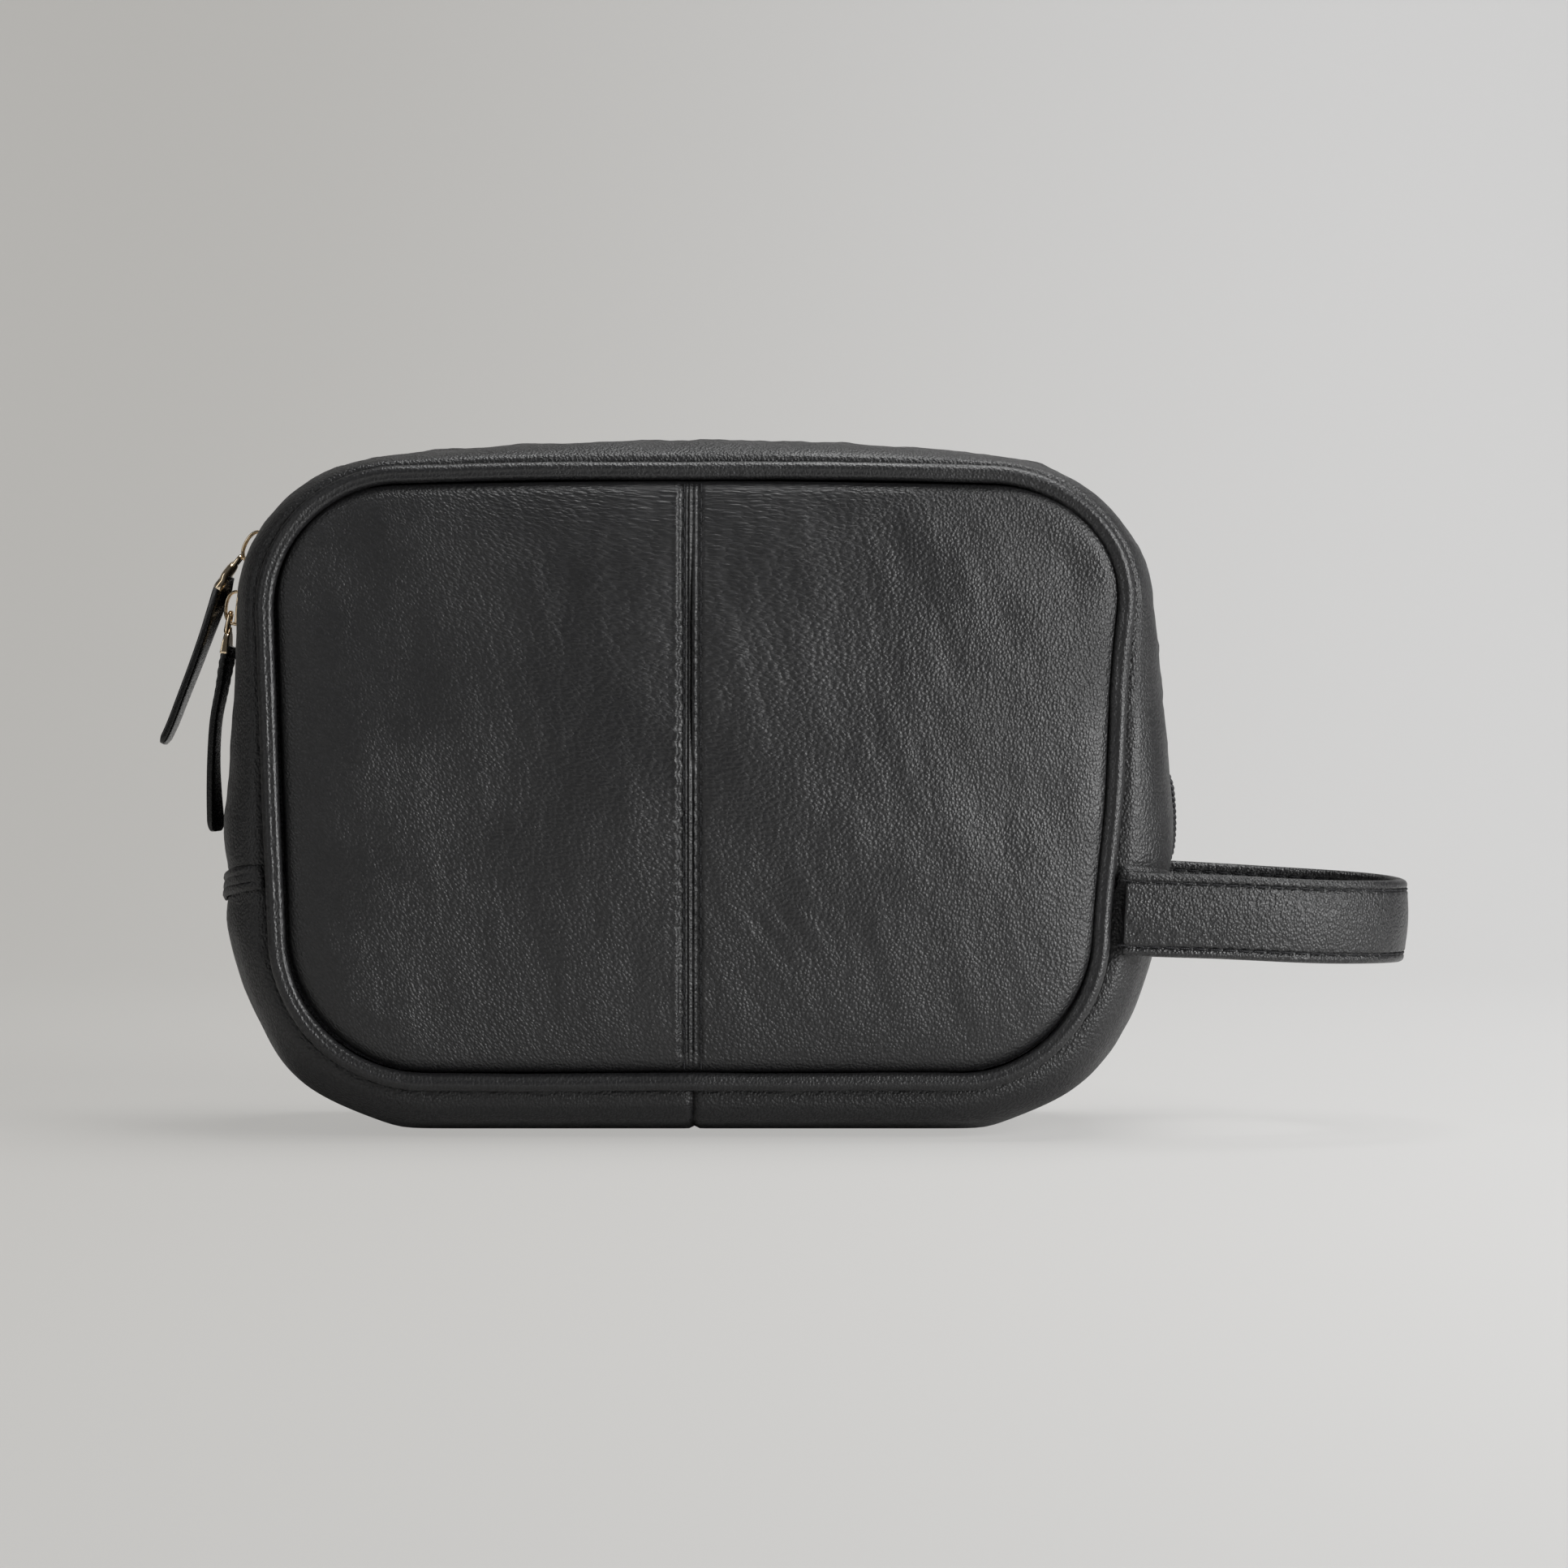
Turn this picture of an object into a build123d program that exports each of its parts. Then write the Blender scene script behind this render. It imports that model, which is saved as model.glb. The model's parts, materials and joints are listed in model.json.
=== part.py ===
from build123d import *
import math
import os
from collections import namedtuple

os.makedirs("parts", exist_ok=True)

# A soft leather wash bag that stands on its base.  Millimetres; +X is the long side, the front
# panel faces -Y, +Z is up, and the origin is the middle of the flat base on the floor.

Outline = namedtuple("Outline", "low high half_low half_high corner_low corner_high crown")

# ---- Outlines, seen from the front ------------------------------------------------------------
# The girth runs round the middle of the gusset, where the zip lies; the seam is the outer edge
# of the piping round each panel.  half_low and half_high are half widths at low and high.
girth = Outline(low=-2.0, high=174.5, half_low=129.8, half_high=113.4,
                corner_low=60.0, corner_high=41.0, crown=3.5)
seam_rise = 14.0            # the seam lies inside the girth: underneath,
seam_drop = 5.0             # at the top,
seam_in_low = 24.8          # at the sides low down
seam_in_high = 1.9          # and at the sides by the top
seam_corner_low = 20.0      # and its corners are rounder by this much less
seam_corner_high = 5.0
seam_crown = 1.0
seam = Outline(low=girth.low + seam_rise, high=girth.high - seam_drop,
               half_low=girth.half_low - seam_in_low, half_high=girth.half_high - seam_in_high,
               corner_low=girth.corner_low - seam_corner_low,
               corner_high=girth.corner_high - seam_corner_high, crown=girth.crown - seam_crown)
depth_low = 84.0            # front seam to back seam at the floor
depth_high = 62.0           # front seam to back seam at the top
bulge_steps = ((6.0, 0.62), (17.0, 0.89))   # depth behind the seam, share of the way to the girth

# ---- Materials and layers ---------------------------------------------------------------------
leather = 1.8
lining = 0.8
layer_gap = 0.1
padding_gap = 0.3           # between the crowned leather and the padding under it
panel_rise = ((4.0, 4.4), (13.0, 7.5), (30.0, 8.8), (52.0, 9.2))   # inset from the edge, rise ahead
panel_slit = 0.1            # between the two halves of a panel, under the centre seam
piping_diameter = 5.0
piping_cord = 3.0
piping_clearance = 0.15
tightest_corner = 12.0      # of the inner rings that crown a panel
gusset_tuck = 0.8           # how far the gusset's end lies inside the piping's outer edge
board_end = 5.2              # the board reaches past the ends of the flat bottom line
board_side = 23.0           # from each seam to the board's long edge
board_thickness = 1.0
board_corner = 8.0

# ---- Where the bag opens ----------------------------------------------------------------------
fold_height = 68.0          # the front folds forward above this height
fold_slit = 0.15

# ---- Zip --------------------------------------------------------------------------------------
zip_slot_half = 5.3         # half the gap between the leather edges over the zip
coil_half = 2.9
coil_height = 1.7
coil_sink = 0.3             # the coil's top under the leather's surface
tape_half = 12.0
tape_thickness = 0.6
throat_half = 0.85          # half the gap that the slider's post runs in
lining_slot_half = 7.0
tab_height = 7.0            # the folded leather edge that covers each zip end
tab_low = 60.0
tab_thickness = 0.8

# ---- Sliders and pulls ------------------------------------------------------------------------
slider_length = 11.0
slider_nose_half = 4.7
slider_tail_half = 4.2
slider_plate = 0.9
slider_flange = 0.8
slider_clearance = 0.25
slider_bend_room = 0.45     # extra room inside, for the curve of the corner
slider_post_half = 0.5
slider_post_length = 3.0
bridge_half_length = 4.3
bridge_height = 3.9
bridge_thickness = 1.1
bridge_width = 2.2
wire = 1.2
link_offset = 2.0           # the link's bar, below the middle of the bridge
link_length = 5.0           # between the axes of its two bars
link_side_clearance = 0.4
eye_clearance = 0.25
eye_wall = 0.6
clasp_length = 8.0
clasp_thin = 2.0
clasp_thick = 3.4
clasp_width = 9.4
clasp_pocket = 4.6
clasp_wall = 0.5
pull_width = 8.2
pull_thickness = clasp_thick - 2 * clasp_wall - 0.1
pull_bend = 30.0
upper_slider_angle = 22.5   # round the corner, from level
lower_slider_drop = 40.7    # from the girth's top
upper_lean = (38.0, 33.5, 18.6)   # link, clasp and pull, in degrees out from hanging plumb
lower_lean = (14.0, 11.0, 4.6)
upper_pull_reach = 43.5
lower_pull_reach = 44.5

# ---- Wrist loop -------------------------------------------------------------------------------
loop_width = 21.0
loop_leather = 1.3
loop_core = 0.9
loop_root_gap = 0.5         # from the piping
loop_gusset_gap = 1.0       # from the front edge of the gusset
loop_reach = 63.0           # from the pivot to the far end
loop_end_half = 33.0        # half the spread of the straps, where they would meet the end
loop_end_radius = 27.0
loop_height = 56.5
loop_droop = 2.9

CUT = 400.0                 # larger than the whole bag


# ---- Outline geometry -------------------------------------------------------------------------
def top_corner(outline, inset):
    """Where the side line meets the crowned top, both moved in by the inset."""
    slope = (outline.half_high - outline.half_low) / (outline.high - outline.low)
    crown_radius = (outline.half_high**2 + outline.crown**2) / (2 * outline.crown)
    crown_centre = outline.high - crown_radius
    radius = crown_radius - inset
    side = outline.half_low + slope * (crown_centre - outline.low) - inset * math.hypot(1, slope)
    square = 1 + slope**2
    rise = (math.sqrt((side * slope) ** 2 - square * (side**2 - radius**2)) - side * slope) / square
    return side + slope * rise, crown_centre + rise


def side_point(outline, inset, height):
    """Half width of the side line at a height."""
    slope = (outline.half_high - outline.half_low) / (outline.high - outline.low)
    return outline.half_low + slope * (height - outline.low) - inset * math.hypot(1, slope)


def outline_face(outline, inset):
    """The outline moved in by the inset, as a flat face in X and Y."""
    top_x, top_y = top_corner(outline, inset)
    low_y = outline.low + inset
    low_x = side_point(outline, inset, low_y)
    edge = Line((-low_x, low_y), (low_x, low_y)) + Line((low_x, low_y), (top_x, top_y))
    edge += ThreePointArc((top_x, top_y), (0, outline.high - inset), (-top_x, top_y))
    edge += Line((-top_x, top_y), (-low_x, low_y))
    face = make_face(edge)
    low_radius = max(outline.corner_low - inset, tightest_corner)
    high_radius = max(outline.corner_high - inset, tightest_corner)
    face = fillet(face.vertices().group_by(Axis.Y)[0], low_radius)
    return fillet(face.vertices().group_by(Axis.Y)[-1], high_radius)


def between(first, second, share):
    """An outline part of the way from the first to the second."""
    return Outline(*(a + (b - a) * share for a, b in zip(first, second)))


wall_lean = math.degrees(math.atan((depth_low - depth_high) / 2 / girth.high))


def wall_plane(ahead):
    """Plane of the front seam, moved ahead of it; its own Y runs up the bag."""
    return Plane((0, -depth_low / 2, 0), x_dir=(1, 0, 0), z_dir=(0, -1, 0)).rotated(
        (-wall_lean, 0, 0)).offset(ahead)


def wall_depth(height):
    """How far the front seam's plane lies from the middle at a height."""
    return depth_low / 2 - math.tan(math.radians(wall_lean)) * height


def keep_box(solid, x=(-CUT, CUT), y=(-CUT, CUT), z=(-CUT, CUT)):
    """What is left of the solid inside the given ranges."""
    size = [high - low for low, high in (x, y, z)]
    middle = [(high + low) / 2 for low, high in (x, y, z)]
    return solid & Pos(*middle) * Box(*size)


# ---- Body: gusset, panels and piping ----------------------------------------------------------
def belly(inset):
    """The whole soft body between the two seams, moved in by the inset and flat underneath."""
    front = [wall_plane(0) * outline_face(seam, gusset_tuck + inset)]
    for behind, share in bulge_steps:
        front.append(wall_plane(-behind) * outline_face(between(seam, girth, share), inset))
    back = [mirror(face, about=Plane.XZ) for face in reversed(front)]
    middle = Plane((0, 0, 0), x_dir=(1, 0, 0), z_dir=(0, -1, 0)) * outline_face(girth, inset)
    whole = loft([section.faces()[0] for section in [*front, middle, *back]])
    return keep_box(whole, z=(max(inset, 0), CUT))


def pillow(edge_inset, depth, clearance=0.0):
    """The crowned block that fills the front panel's outline, skinned away by a depth and kept
    clear of what covers it."""
    sections = [wall_plane(layer_gap) * outline_face(seam, edge_inset + depth + clearance)]
    fall = (0.7, 0.95, 1.0, 1.0)
    for (inset, rise), share in zip(panel_rise, fall):
        face = outline_face(seam, edge_inset + inset + depth * (1 - share) + clearance)
        sections.append(wall_plane(rise - depth * share - clearance) * face)
    return loft([section.faces()[0] for section in sections])


def ring(outer, inner, *cuts):
    """A layer of the gusset between two insets, cut while it is still a plain block."""
    block = belly(outer)
    for cut in cuts:
        block = cut(block)
    return block - belly(inner)


def skin(*cuts):
    """The padded panel's leather, cut while it is still a plain block."""
    block = pillow(panel_edge, 0)
    for cut in cuts:
        block = cut(block)
    return block - pillow(panel_edge, leather)


def tube(diameter):
    """A round cord that follows the front seam."""
    centre = outline_face(seam, piping_diameter / 2)
    path = (wall_plane(layer_gap + piping_diameter / 2) * centre).faces()[0].outer_wire()
    section = Plane(origin=path @ 0, z_dir=path % 0) * Circle(diameter / 2)
    return sweep(section, path=path)


def above(solid):
    return keep_box(solid, z=(fold_height + fold_slit / 2, CUT))


def below(solid):
    return keep_box(solid, z=(-CUT, fold_height - fold_slit / 2))


def left(solid):
    return keep_box(solid, x=(-CUT, -panel_slit / 2))


def right(solid):
    return keep_box(solid, x=(panel_slit / 2, CUT))


def front_of(start):
    """A cut that keeps what lies ahead of a distance from the middle."""
    return lambda solid: keep_box(solid, y=(-CUT, -start))


def to_back(solid):
    return mirror(solid, about=Plane.XZ)


parts = {}

coil_bottom = coil_sink + coil_height
tape_top = coil_bottom + layer_gap
tape_bottom = tape_top + tape_thickness
gusset_lining_top = tape_bottom + 3 * layer_gap

panel_edge = piping_diameter + piping_clearance
panel_foam = pillow(panel_edge, leather, padding_gap)
lining_edge = gusset_tuck + gusset_lining_top + lining + layer_gap
lining_sheet = wall_plane(-lining) * outline_face(seam, lining_edge)
panel_lining = extrude(lining_sheet, amount=lining, dir=wall_plane(0).z_dir)

parts["front_panel_left_upper"] = skin(above, left)
parts["front_panel_right_upper"] = skin(above, right)
parts["front_panel_left_lower"] = skin(below, left)
parts["front_panel_right_lower"] = skin(below, right)
parts["back_panel_left"] = to_back(skin(left))
parts["back_panel_right"] = to_back(skin(right))
parts["front_interlining_upper"] = above(panel_foam)
parts["front_interlining_lower"] = below(panel_foam)
parts["back_interlining"] = to_back(panel_foam)
parts["front_lining_upper"] = above(panel_lining)
parts["front_lining_lower"] = below(panel_lining)
parts["back_lining"] = to_back(panel_lining)

piping_bore = piping_cord + 2 * layer_gap
cord = tube(piping_cord)
piping = tube(piping_diameter) - tube(piping_bore)
parts["front_piping_upper"] = above(piping)
parts["front_piping_lower"] = below(piping)
parts["back_piping"] = to_back(piping)
parts["front_piping_cord_upper"] = above(cord)
parts["front_piping_cord_lower"] = below(cord)
parts["back_piping_cord"] = to_back(cord)

zip_gusset = ring(0, leather, above, front_of(zip_slot_half))
parts["front_zip_gusset"] = zip_gusset
parts["back_zip_gusset"] = to_back(zip_gusset)
parts["base_gusset_left"] = ring(0, leather, below, left)
parts["base_gusset_right"] = ring(0, leather, below, right)
lining_under = gusset_lining_top + lining
zip_lining = ring(gusset_lining_top, lining_under, above, front_of(lining_slot_half))
parts["front_gusset_lining"] = zip_lining
parts["back_gusset_lining"] = to_back(zip_lining)
parts["base_lining"] = ring(gusset_lining_top, lining_under, below)

board_length = 2 * (girth.half_low - girth.corner_low + board_end)
board_width = depth_low - 2 * board_side
board = Box(board_length, board_width, board_thickness)
board = fillet(board.edges().filter_by(Axis.Z), board_corner)
parts["base_board"] = Pos(0, 0, leather + layer_gap + board_thickness / 2) * board

# ---- Zip tapes, coils and end tabs ------------------------------------------------------------
def tape_from(height):
    """The tape along the front half of the zip, above a height."""
    return lambda solid: keep_box(solid, y=(-tape_half, -throat_half), z=(height, CUT))


parts["front_zip_tape"] = ring(tape_top, tape_bottom, tape_from(fold_height + fold_slit / 2))
parts["back_zip_tape"] = to_back(ring(tape_top, tape_bottom, tape_from(tab_low)))


def coil_band():
    """The row of coil teeth on one tape, as a band that follows the girth."""
    plane = Plane((0, 0, 0), x_dir=(1, 0, 0), z_dir=(0, -1, 0))
    band = outline_face(girth, coil_sink) - outline_face(girth, coil_bottom)
    solid = extrude(plane * band, amount=coil_half)
    return above(front_of(throat_half)(solid))


parts["front_zip_coil"] = coil_band()
parts["back_zip_coil"] = to_back(parts["front_zip_coil"])



def tab_band(solid):
    return keep_box(solid, z=(tab_low, tab_low + tab_height))


tab_outer = -layer_gap - tab_thickness
parts["zip_end_tab_left"] = ring(tab_outer, -layer_gap, tab_band, left)
parts["zip_end_tab_right"] = ring(tab_outer, -layer_gap, tab_band, right)


# ---- Sliders ----------------------------------------------------------------------------------
# Built flat: X runs along the zip towards the nose, Y across it, and Z = 0 is the leather face.
plate_under = -coil_sink + slider_clearance
plate_top = plate_under + slider_plate
keel_top = -(tape_bottom + slider_bend_room + slider_clearance)
keel_under = keel_top - slider_plate
pivot_height = plate_top + wire / 2 + eye_clearance


def slider_outline(trim, reach):
    """Plan of the slider: narrow at the tail, spread at the nose."""
    waist = -slider_length / 8
    nose = slider_length / 2 + reach
    tail = -slider_length / 2 - reach
    wide = slider_nose_half - trim
    slim = slider_tail_half - trim
    plan = Polyline((tail, -slim), (waist, -slim), (nose, -wide), (nose, wide),
                    (waist, slim), (tail, slim), close=True)
    return make_face(plan)


def slider_body():
    plan = slider_outline(0, 0)
    plan = fillet(plan.vertices().group_by(Axis.X)[0], 1.2)
    plan = fillet(plan.vertices().group_by(Axis.X)[-1], 1.6)
    flange_low = -(tape_top - slider_clearance)
    cover = Pos(0, 0, flange_low) * extrude(plan, amount=plate_top - flange_low)
    channel = slider_outline(slider_flange, 1)
    cover -= Pos(0, 0, flange_low - 1) * extrude(channel, amount=plate_under - flange_low + 1)
    keel = Pos(0, 0, keel_under) * extrude(plan, amount=slider_plate)
    post_x = slider_length / 2 - slider_post_length / 2 - slider_clearance
    post_height = plate_under - keel_top + 2 * layer_gap
    post = Pos(post_x, 0, (plate_under + keel_top) / 2) * Box(
        slider_post_length, 2 * slider_post_half, post_height)
    arch = Ellipse(bridge_half_length, bridge_height)
    arch -= Ellipse(bridge_half_length - bridge_thickness, bridge_height - bridge_thickness)
    arch &= Pos(0, bridge_height / 2) * Rectangle(3 * bridge_half_length, bridge_height)
    side = Plane((0, bridge_width / 2, plate_top - layer_gap), x_dir=(1, 0, 0), z_dir=(0, -1, 0))
    bridge = extrude(side * arch, amount=bridge_width)
    return cover + keel + post + bridge


def slider_link():
    """A small ring: one bar through the bridge, the other through the clasp's eye."""
    width = bridge_width + 2 * link_side_clearance + wire
    path = RectangleRounded(link_length, width, wire).face().outer_wire()
    section = Plane(origin=path @ 0, z_dir=path % 0) * Circle(wire / 2)
    return Pos(-link_length / 2, 0, 0) * sweep(section, path=path)


def pull_clasp():
    """Eye, neck and a wedge with a pocket for the strap; the eye's axis is Y at the origin."""
    eye_radius = wire / 2 + eye_clearance + eye_wall
    eye_width = bridge_width + 2 * link_side_clearance - 0.4
    start = -eye_radius - 0.3
    end = start - clasp_length + eye_radius
    side = Polyline((start, clasp_thin / 2), (end, clasp_thick / 2),
                    (end, -clasp_thick / 2), (start, -clasp_thin / 2), close=True)
    plane = Plane((0, clasp_width / 2, 0), x_dir=(1, 0, 0), z_dir=(0, -1, 0))
    block = extrude(plane * make_face(side), amount=clasp_width)
    turn = Plane((0, eye_width / 2, 0), x_dir=(1, 0, 0), z_dir=(0, -1, 0))
    eye = extrude(turn * Circle(eye_radius), amount=eye_width)
    neck = Pos(start / 2, 0, 0) * Box(-start + 1, eye_width, clasp_thin)
    bore = extrude(turn * Circle(wire / 2 + eye_clearance), amount=eye_width)
    pocket = Pos(end + clasp_pocket / 2, 0, 0) * Box(
        clasp_pocket, pull_width + 0.1, pull_thickness + 0.1)
    return block + neck + eye - bore - pocket, end


def pull_strap(clasp_end, turn, reach):
    """Leather strap from the clasp's pocket, bent by an angle to hang more nearly plumb."""
    start = clasp_end + clasp_pocket - 0.1
    bend = clasp_end - 3.5
    angle = math.radians(turn)
    tip = (bend - (reach - 3.5) * math.cos(angle), -(reach - 3.5) * math.sin(angle))
    path = FilletPolyline((start, 0), (bend, 0), tip, radius=pull_bend)
    plane = Plane((0, 0, 0), x_dir=(1, 0, 0), z_dir=(0, -1, 0))
    path = plane * path
    section = Plane(origin=path @ 0, z_dir=path % 0) * Rectangle(pull_thickness, pull_width)
    strap = sweep(section, path=path)
    ends = strap.edges().sort_by_distance(path @ 1)
    long = [edge for edge in ends[:4] if edge.length < pull_width / 2]
    return fillet(long, pull_width / 2 - 0.3)


def hang(origin, lean):
    """A plane at a pivot whose X points back up a piece that leans out from plumb."""
    angle = math.radians(lean)
    up = (math.sin(angle), 0, math.cos(angle))
    out = (-math.cos(angle), 0, math.sin(angle))
    return Plane(origin, x_dir=up, z_dir=out)


def zip_pull(name, seat, lean, reach, nose):
    """Slider, link, clasp and strap at one place on the zip; returns the two pivots."""
    body = slider_body() if nose > 0 else Rot(0, 0, 180) * slider_body()
    parts[name + "_slider_body"] = seat * body
    bar = seat * Pos(-link_offset, 0, pivot_height)
    first = bar.position
    link_plane = hang(first, lean[0])
    parts[name + "_slider_link"] = link_plane * slider_link()
    second = (link_plane * Pos(-link_length, 0, 0)).position
    clasp, clasp_end = pull_clasp()
    clasp_plane = hang(second, lean[1])
    parts[name + "_pull_clasp"] = clasp_plane * clasp
    parts[name + "_pull_strap"] = clasp_plane * pull_strap(clasp_end, lean[1] - lean[2], reach)
    return first, second


corner_x, corner_z = top_corner(girth, girth.corner_high)
corner_centre = Vector(-corner_x, 0, corner_z)
level = math.radians(upper_slider_angle)
upper_out = Vector(-math.cos(level), 0, math.sin(level))
upper_up = Vector(math.sin(level), 0, math.cos(level))
upper_seat = Plane(corner_centre + upper_out * girth.corner_high, x_dir=upper_up, z_dir=upper_out)
upper_pivots = zip_pull("upper", upper_seat, upper_lean, upper_pull_reach, -1)

side_slope = math.atan((girth.half_low - girth.half_high) / (girth.high - girth.low))
side_up = Vector(math.sin(side_slope), 0, math.cos(side_slope))
side_out = Vector(-math.cos(side_slope), 0, math.sin(side_slope))
lower_slider_height = girth.high - lower_slider_drop
lower_x = -side_point(girth, 0, lower_slider_height)
lower_seat = Plane((lower_x, 0, lower_slider_height), x_dir=side_up, z_dir=side_out)
lower_pivots = zip_pull("lower", lower_seat, lower_lean, lower_pull_reach, 1)

# ---- Wrist loop -------------------------------------------------------------------------------
loop_thickness = 2 * loop_leather + loop_core + 2 * layer_gap
loop_root = side_point(seam, 0, loop_height) + loop_root_gap
pivot_x = loop_root + loop_width / 2
root_half = wall_depth(loop_height - loop_width) + loop_gusset_gap + loop_thickness / 2
loop_angle = math.atan((root_half - loop_end_half) / loop_reach)


def loop_plan(shift):
    """The loop's plan filled in, its edge moved out from the strap's middle by the shift."""
    side = shift / math.cos(loop_angle)
    far = loop_reach + shift
    points = ((-loop_width, root_half + side), (far, loop_end_half + side),
              (far, -loop_end_half - side), (-loop_width, -root_half - side))
    face = make_face(Polyline(*points, close=True))
    return fillet(face.vertices().group_by(Axis.X)[-1], loop_end_radius + shift)


def loop_layer(outer, inner):
    """One layer of the strap, with round ends about the pivot."""
    band = loop_plan(outer) - loop_plan(inner)
    band = Pos(0, 0, -loop_width / 2) * extrude(band, amount=loop_width)
    plane = Plane((0, CUT / 2, 0), x_dir=(1, 0, 0), z_dir=(0, -1, 0))
    shape = Circle(loop_width / 2) + Pos(loop_reach, 0) * Rectangle(2 * loop_reach, loop_width)
    band &= extrude(plane * shape, amount=CUT)
    return Pos(pivot_x, 0, loop_height) * Rot(0, loop_droop, 0) * band


outside = loop_thickness / 2
parts["handle_outer_strap"] = loop_layer(outside, outside - loop_leather)
parts["handle_core"] = loop_layer(loop_core / 2, -loop_core / 2)
parts["handle_inner_strap"] = loop_layer(loop_leather - outside, -outside)

for node, shape in parts.items():
    export_step(shape, os.path.join("parts", node + ".step"))
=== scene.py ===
import bmesh
import bpy
import json
import math
import numpy as np
from collections import namedtuple
from mathutils import Matrix, Vector


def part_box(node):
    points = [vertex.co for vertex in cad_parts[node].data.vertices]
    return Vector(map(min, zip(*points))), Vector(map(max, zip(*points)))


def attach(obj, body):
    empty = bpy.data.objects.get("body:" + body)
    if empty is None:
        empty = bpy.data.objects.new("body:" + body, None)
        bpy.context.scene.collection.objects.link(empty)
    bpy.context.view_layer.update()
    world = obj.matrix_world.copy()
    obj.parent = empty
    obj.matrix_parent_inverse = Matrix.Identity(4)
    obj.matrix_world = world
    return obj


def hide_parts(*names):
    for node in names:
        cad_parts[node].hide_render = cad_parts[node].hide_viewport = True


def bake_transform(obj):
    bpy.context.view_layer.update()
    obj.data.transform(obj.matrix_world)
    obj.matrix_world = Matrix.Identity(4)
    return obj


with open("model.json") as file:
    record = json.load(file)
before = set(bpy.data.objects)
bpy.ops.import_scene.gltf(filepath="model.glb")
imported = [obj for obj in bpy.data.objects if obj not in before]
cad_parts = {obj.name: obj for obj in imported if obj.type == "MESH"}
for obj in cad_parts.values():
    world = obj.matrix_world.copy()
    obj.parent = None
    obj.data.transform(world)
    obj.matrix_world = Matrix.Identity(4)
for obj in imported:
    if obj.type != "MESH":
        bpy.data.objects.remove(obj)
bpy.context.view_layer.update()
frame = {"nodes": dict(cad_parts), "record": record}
nodes = frame["nodes"]
joints = {joint["name"]: joint for joint in frame["record"]["behaviour"]["joints"]}

MM = 0.001

# ---- Driving sizes, in millimetres: the solids' sizes, trimmed a little for looks ---------------
Outline = namedtuple("Outline", "low high half_low half_high corner_low corner_high crown")
girth = Outline(-2.0, 174.9, 129.8, 113.4, 65.0, 38.5, 7.0)
seam = Outline(12.0, 170.4, 105.0, 111.5, 40.0, 36.0, 2.5)
depth_low, depth_high = 84.0, 62.0
wall_lean = math.atan((depth_low - depth_high) / 2 / girth.high)
leather = 1.6
panel_edge = 5.3
piping_radius = 1.9
zip_slot = 4.6
fold_height = joints["mouth_fold"]["pos_m"][2] / MM
stitch_pitch = 3.8
stitch_offset = 2.1
seam_aside = 0.7
tab_low = 60.0
coil_pitch = 1.5
coil_aside = 1.3            # from the zip's middle to each row of teeth
zip_gusset_wall, base_gusset_wall, tab_wall, cloth_wall = 1.0, 1.4, 0.9, 0.5
piping_inset, piping_ahead = 2.75, 2.5  # the cord's middle, in from the seam and ahead of it
seam_inset, flange_inset = 1.0, 4.4     # where the gusset's edge shows, and where it is sewn in
gusset_half = 34.0          # half the gusset's width, about
floor_curl = 0.0034         # the bottom's lift off the floor, times its distance from Y = 0 squared
zip_lining_depth, base_lining_depth = 2.9, 4.1
below_all, above_all = -50, 1000         # heights under and over the whole bag

front_soft = ("bag_body", "front_flap")


# ---- Small numeric helpers --------------------------------------------------------------------
def smooth(low, high, value):
    """Smooth step from 0 at low to 1 at high."""
    share = np.clip((value - low) / (high - low), 0, 1)
    return share * share * (3 - 2 * share)


def bell(value, centre, width):
    return np.exp(-((value - centre) / width) ** 2)


def ripples(a, b, seed, wavelength, angle, spread, count=14):
    """Soft random folds, mostly across one direction: a sum of seeded cosine waves."""
    random = np.random.default_rng(seed)
    total = np.zeros_like(a, dtype=float)
    for _ in range(count):
        turn = math.radians(angle + spread * random.normal())
        length = wavelength * random.uniform(0.7, 1.5)
        phase = random.uniform(0, 2 * math.pi)
        wave = 2 * math.pi / length
        total += np.cos(wave * (a * math.cos(turn) + b * math.sin(turn)) + phase)
    return total / math.sqrt(count)


# ---- Outlines and surfaces of the bag ---------------------------------------------------------
def side_width(outline, inset, height):
    slope = (outline.half_high - outline.half_low) / (outline.high - outline.low)
    return outline.half_low + slope * (height - outline.low) - inset * math.hypot(1, slope)


def crown_drop(outline, x, height):
    """How far the crowned top pulls a point of the outline down."""
    share = (height - outline.low) / (outline.high - outline.low)
    return outline.crown * (x / outline.half_high) ** 2 * share**2


def corner_arc(before, corner, after, radius, steps):
    """Points round a filleted corner, both tangent points included."""
    before, corner, after = (np.array(p, float) for p in (before, corner, after))
    to_before = (before - corner) / np.linalg.norm(before - corner)
    to_after = (after - corner) / np.linalg.norm(after - corner)
    half = math.acos(np.clip(to_before @ to_after, -1, 1)) / 2
    middle = (to_before + to_after) / np.linalg.norm(to_before + to_after)
    centre = corner + middle * radius / math.sin(half)
    start = corner + to_before * radius / math.tan(half) - centre
    end = corner + to_after * radius / math.tan(half) - centre
    turn = math.acos(np.clip(start @ end / radius**2, -1, 1))
    share = np.linspace(0, 1, steps)[:, None]
    return centre + (np.sin((1 - share) * turn) * start + np.sin(share * turn) * end) / math.sin(turn)


# Points along half the bottom, the low corner, the side, the high corner and half the top.
bottom_steps, low_steps, side_steps, high_steps, top_steps = 44, 52, 56, 44, 52


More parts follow.
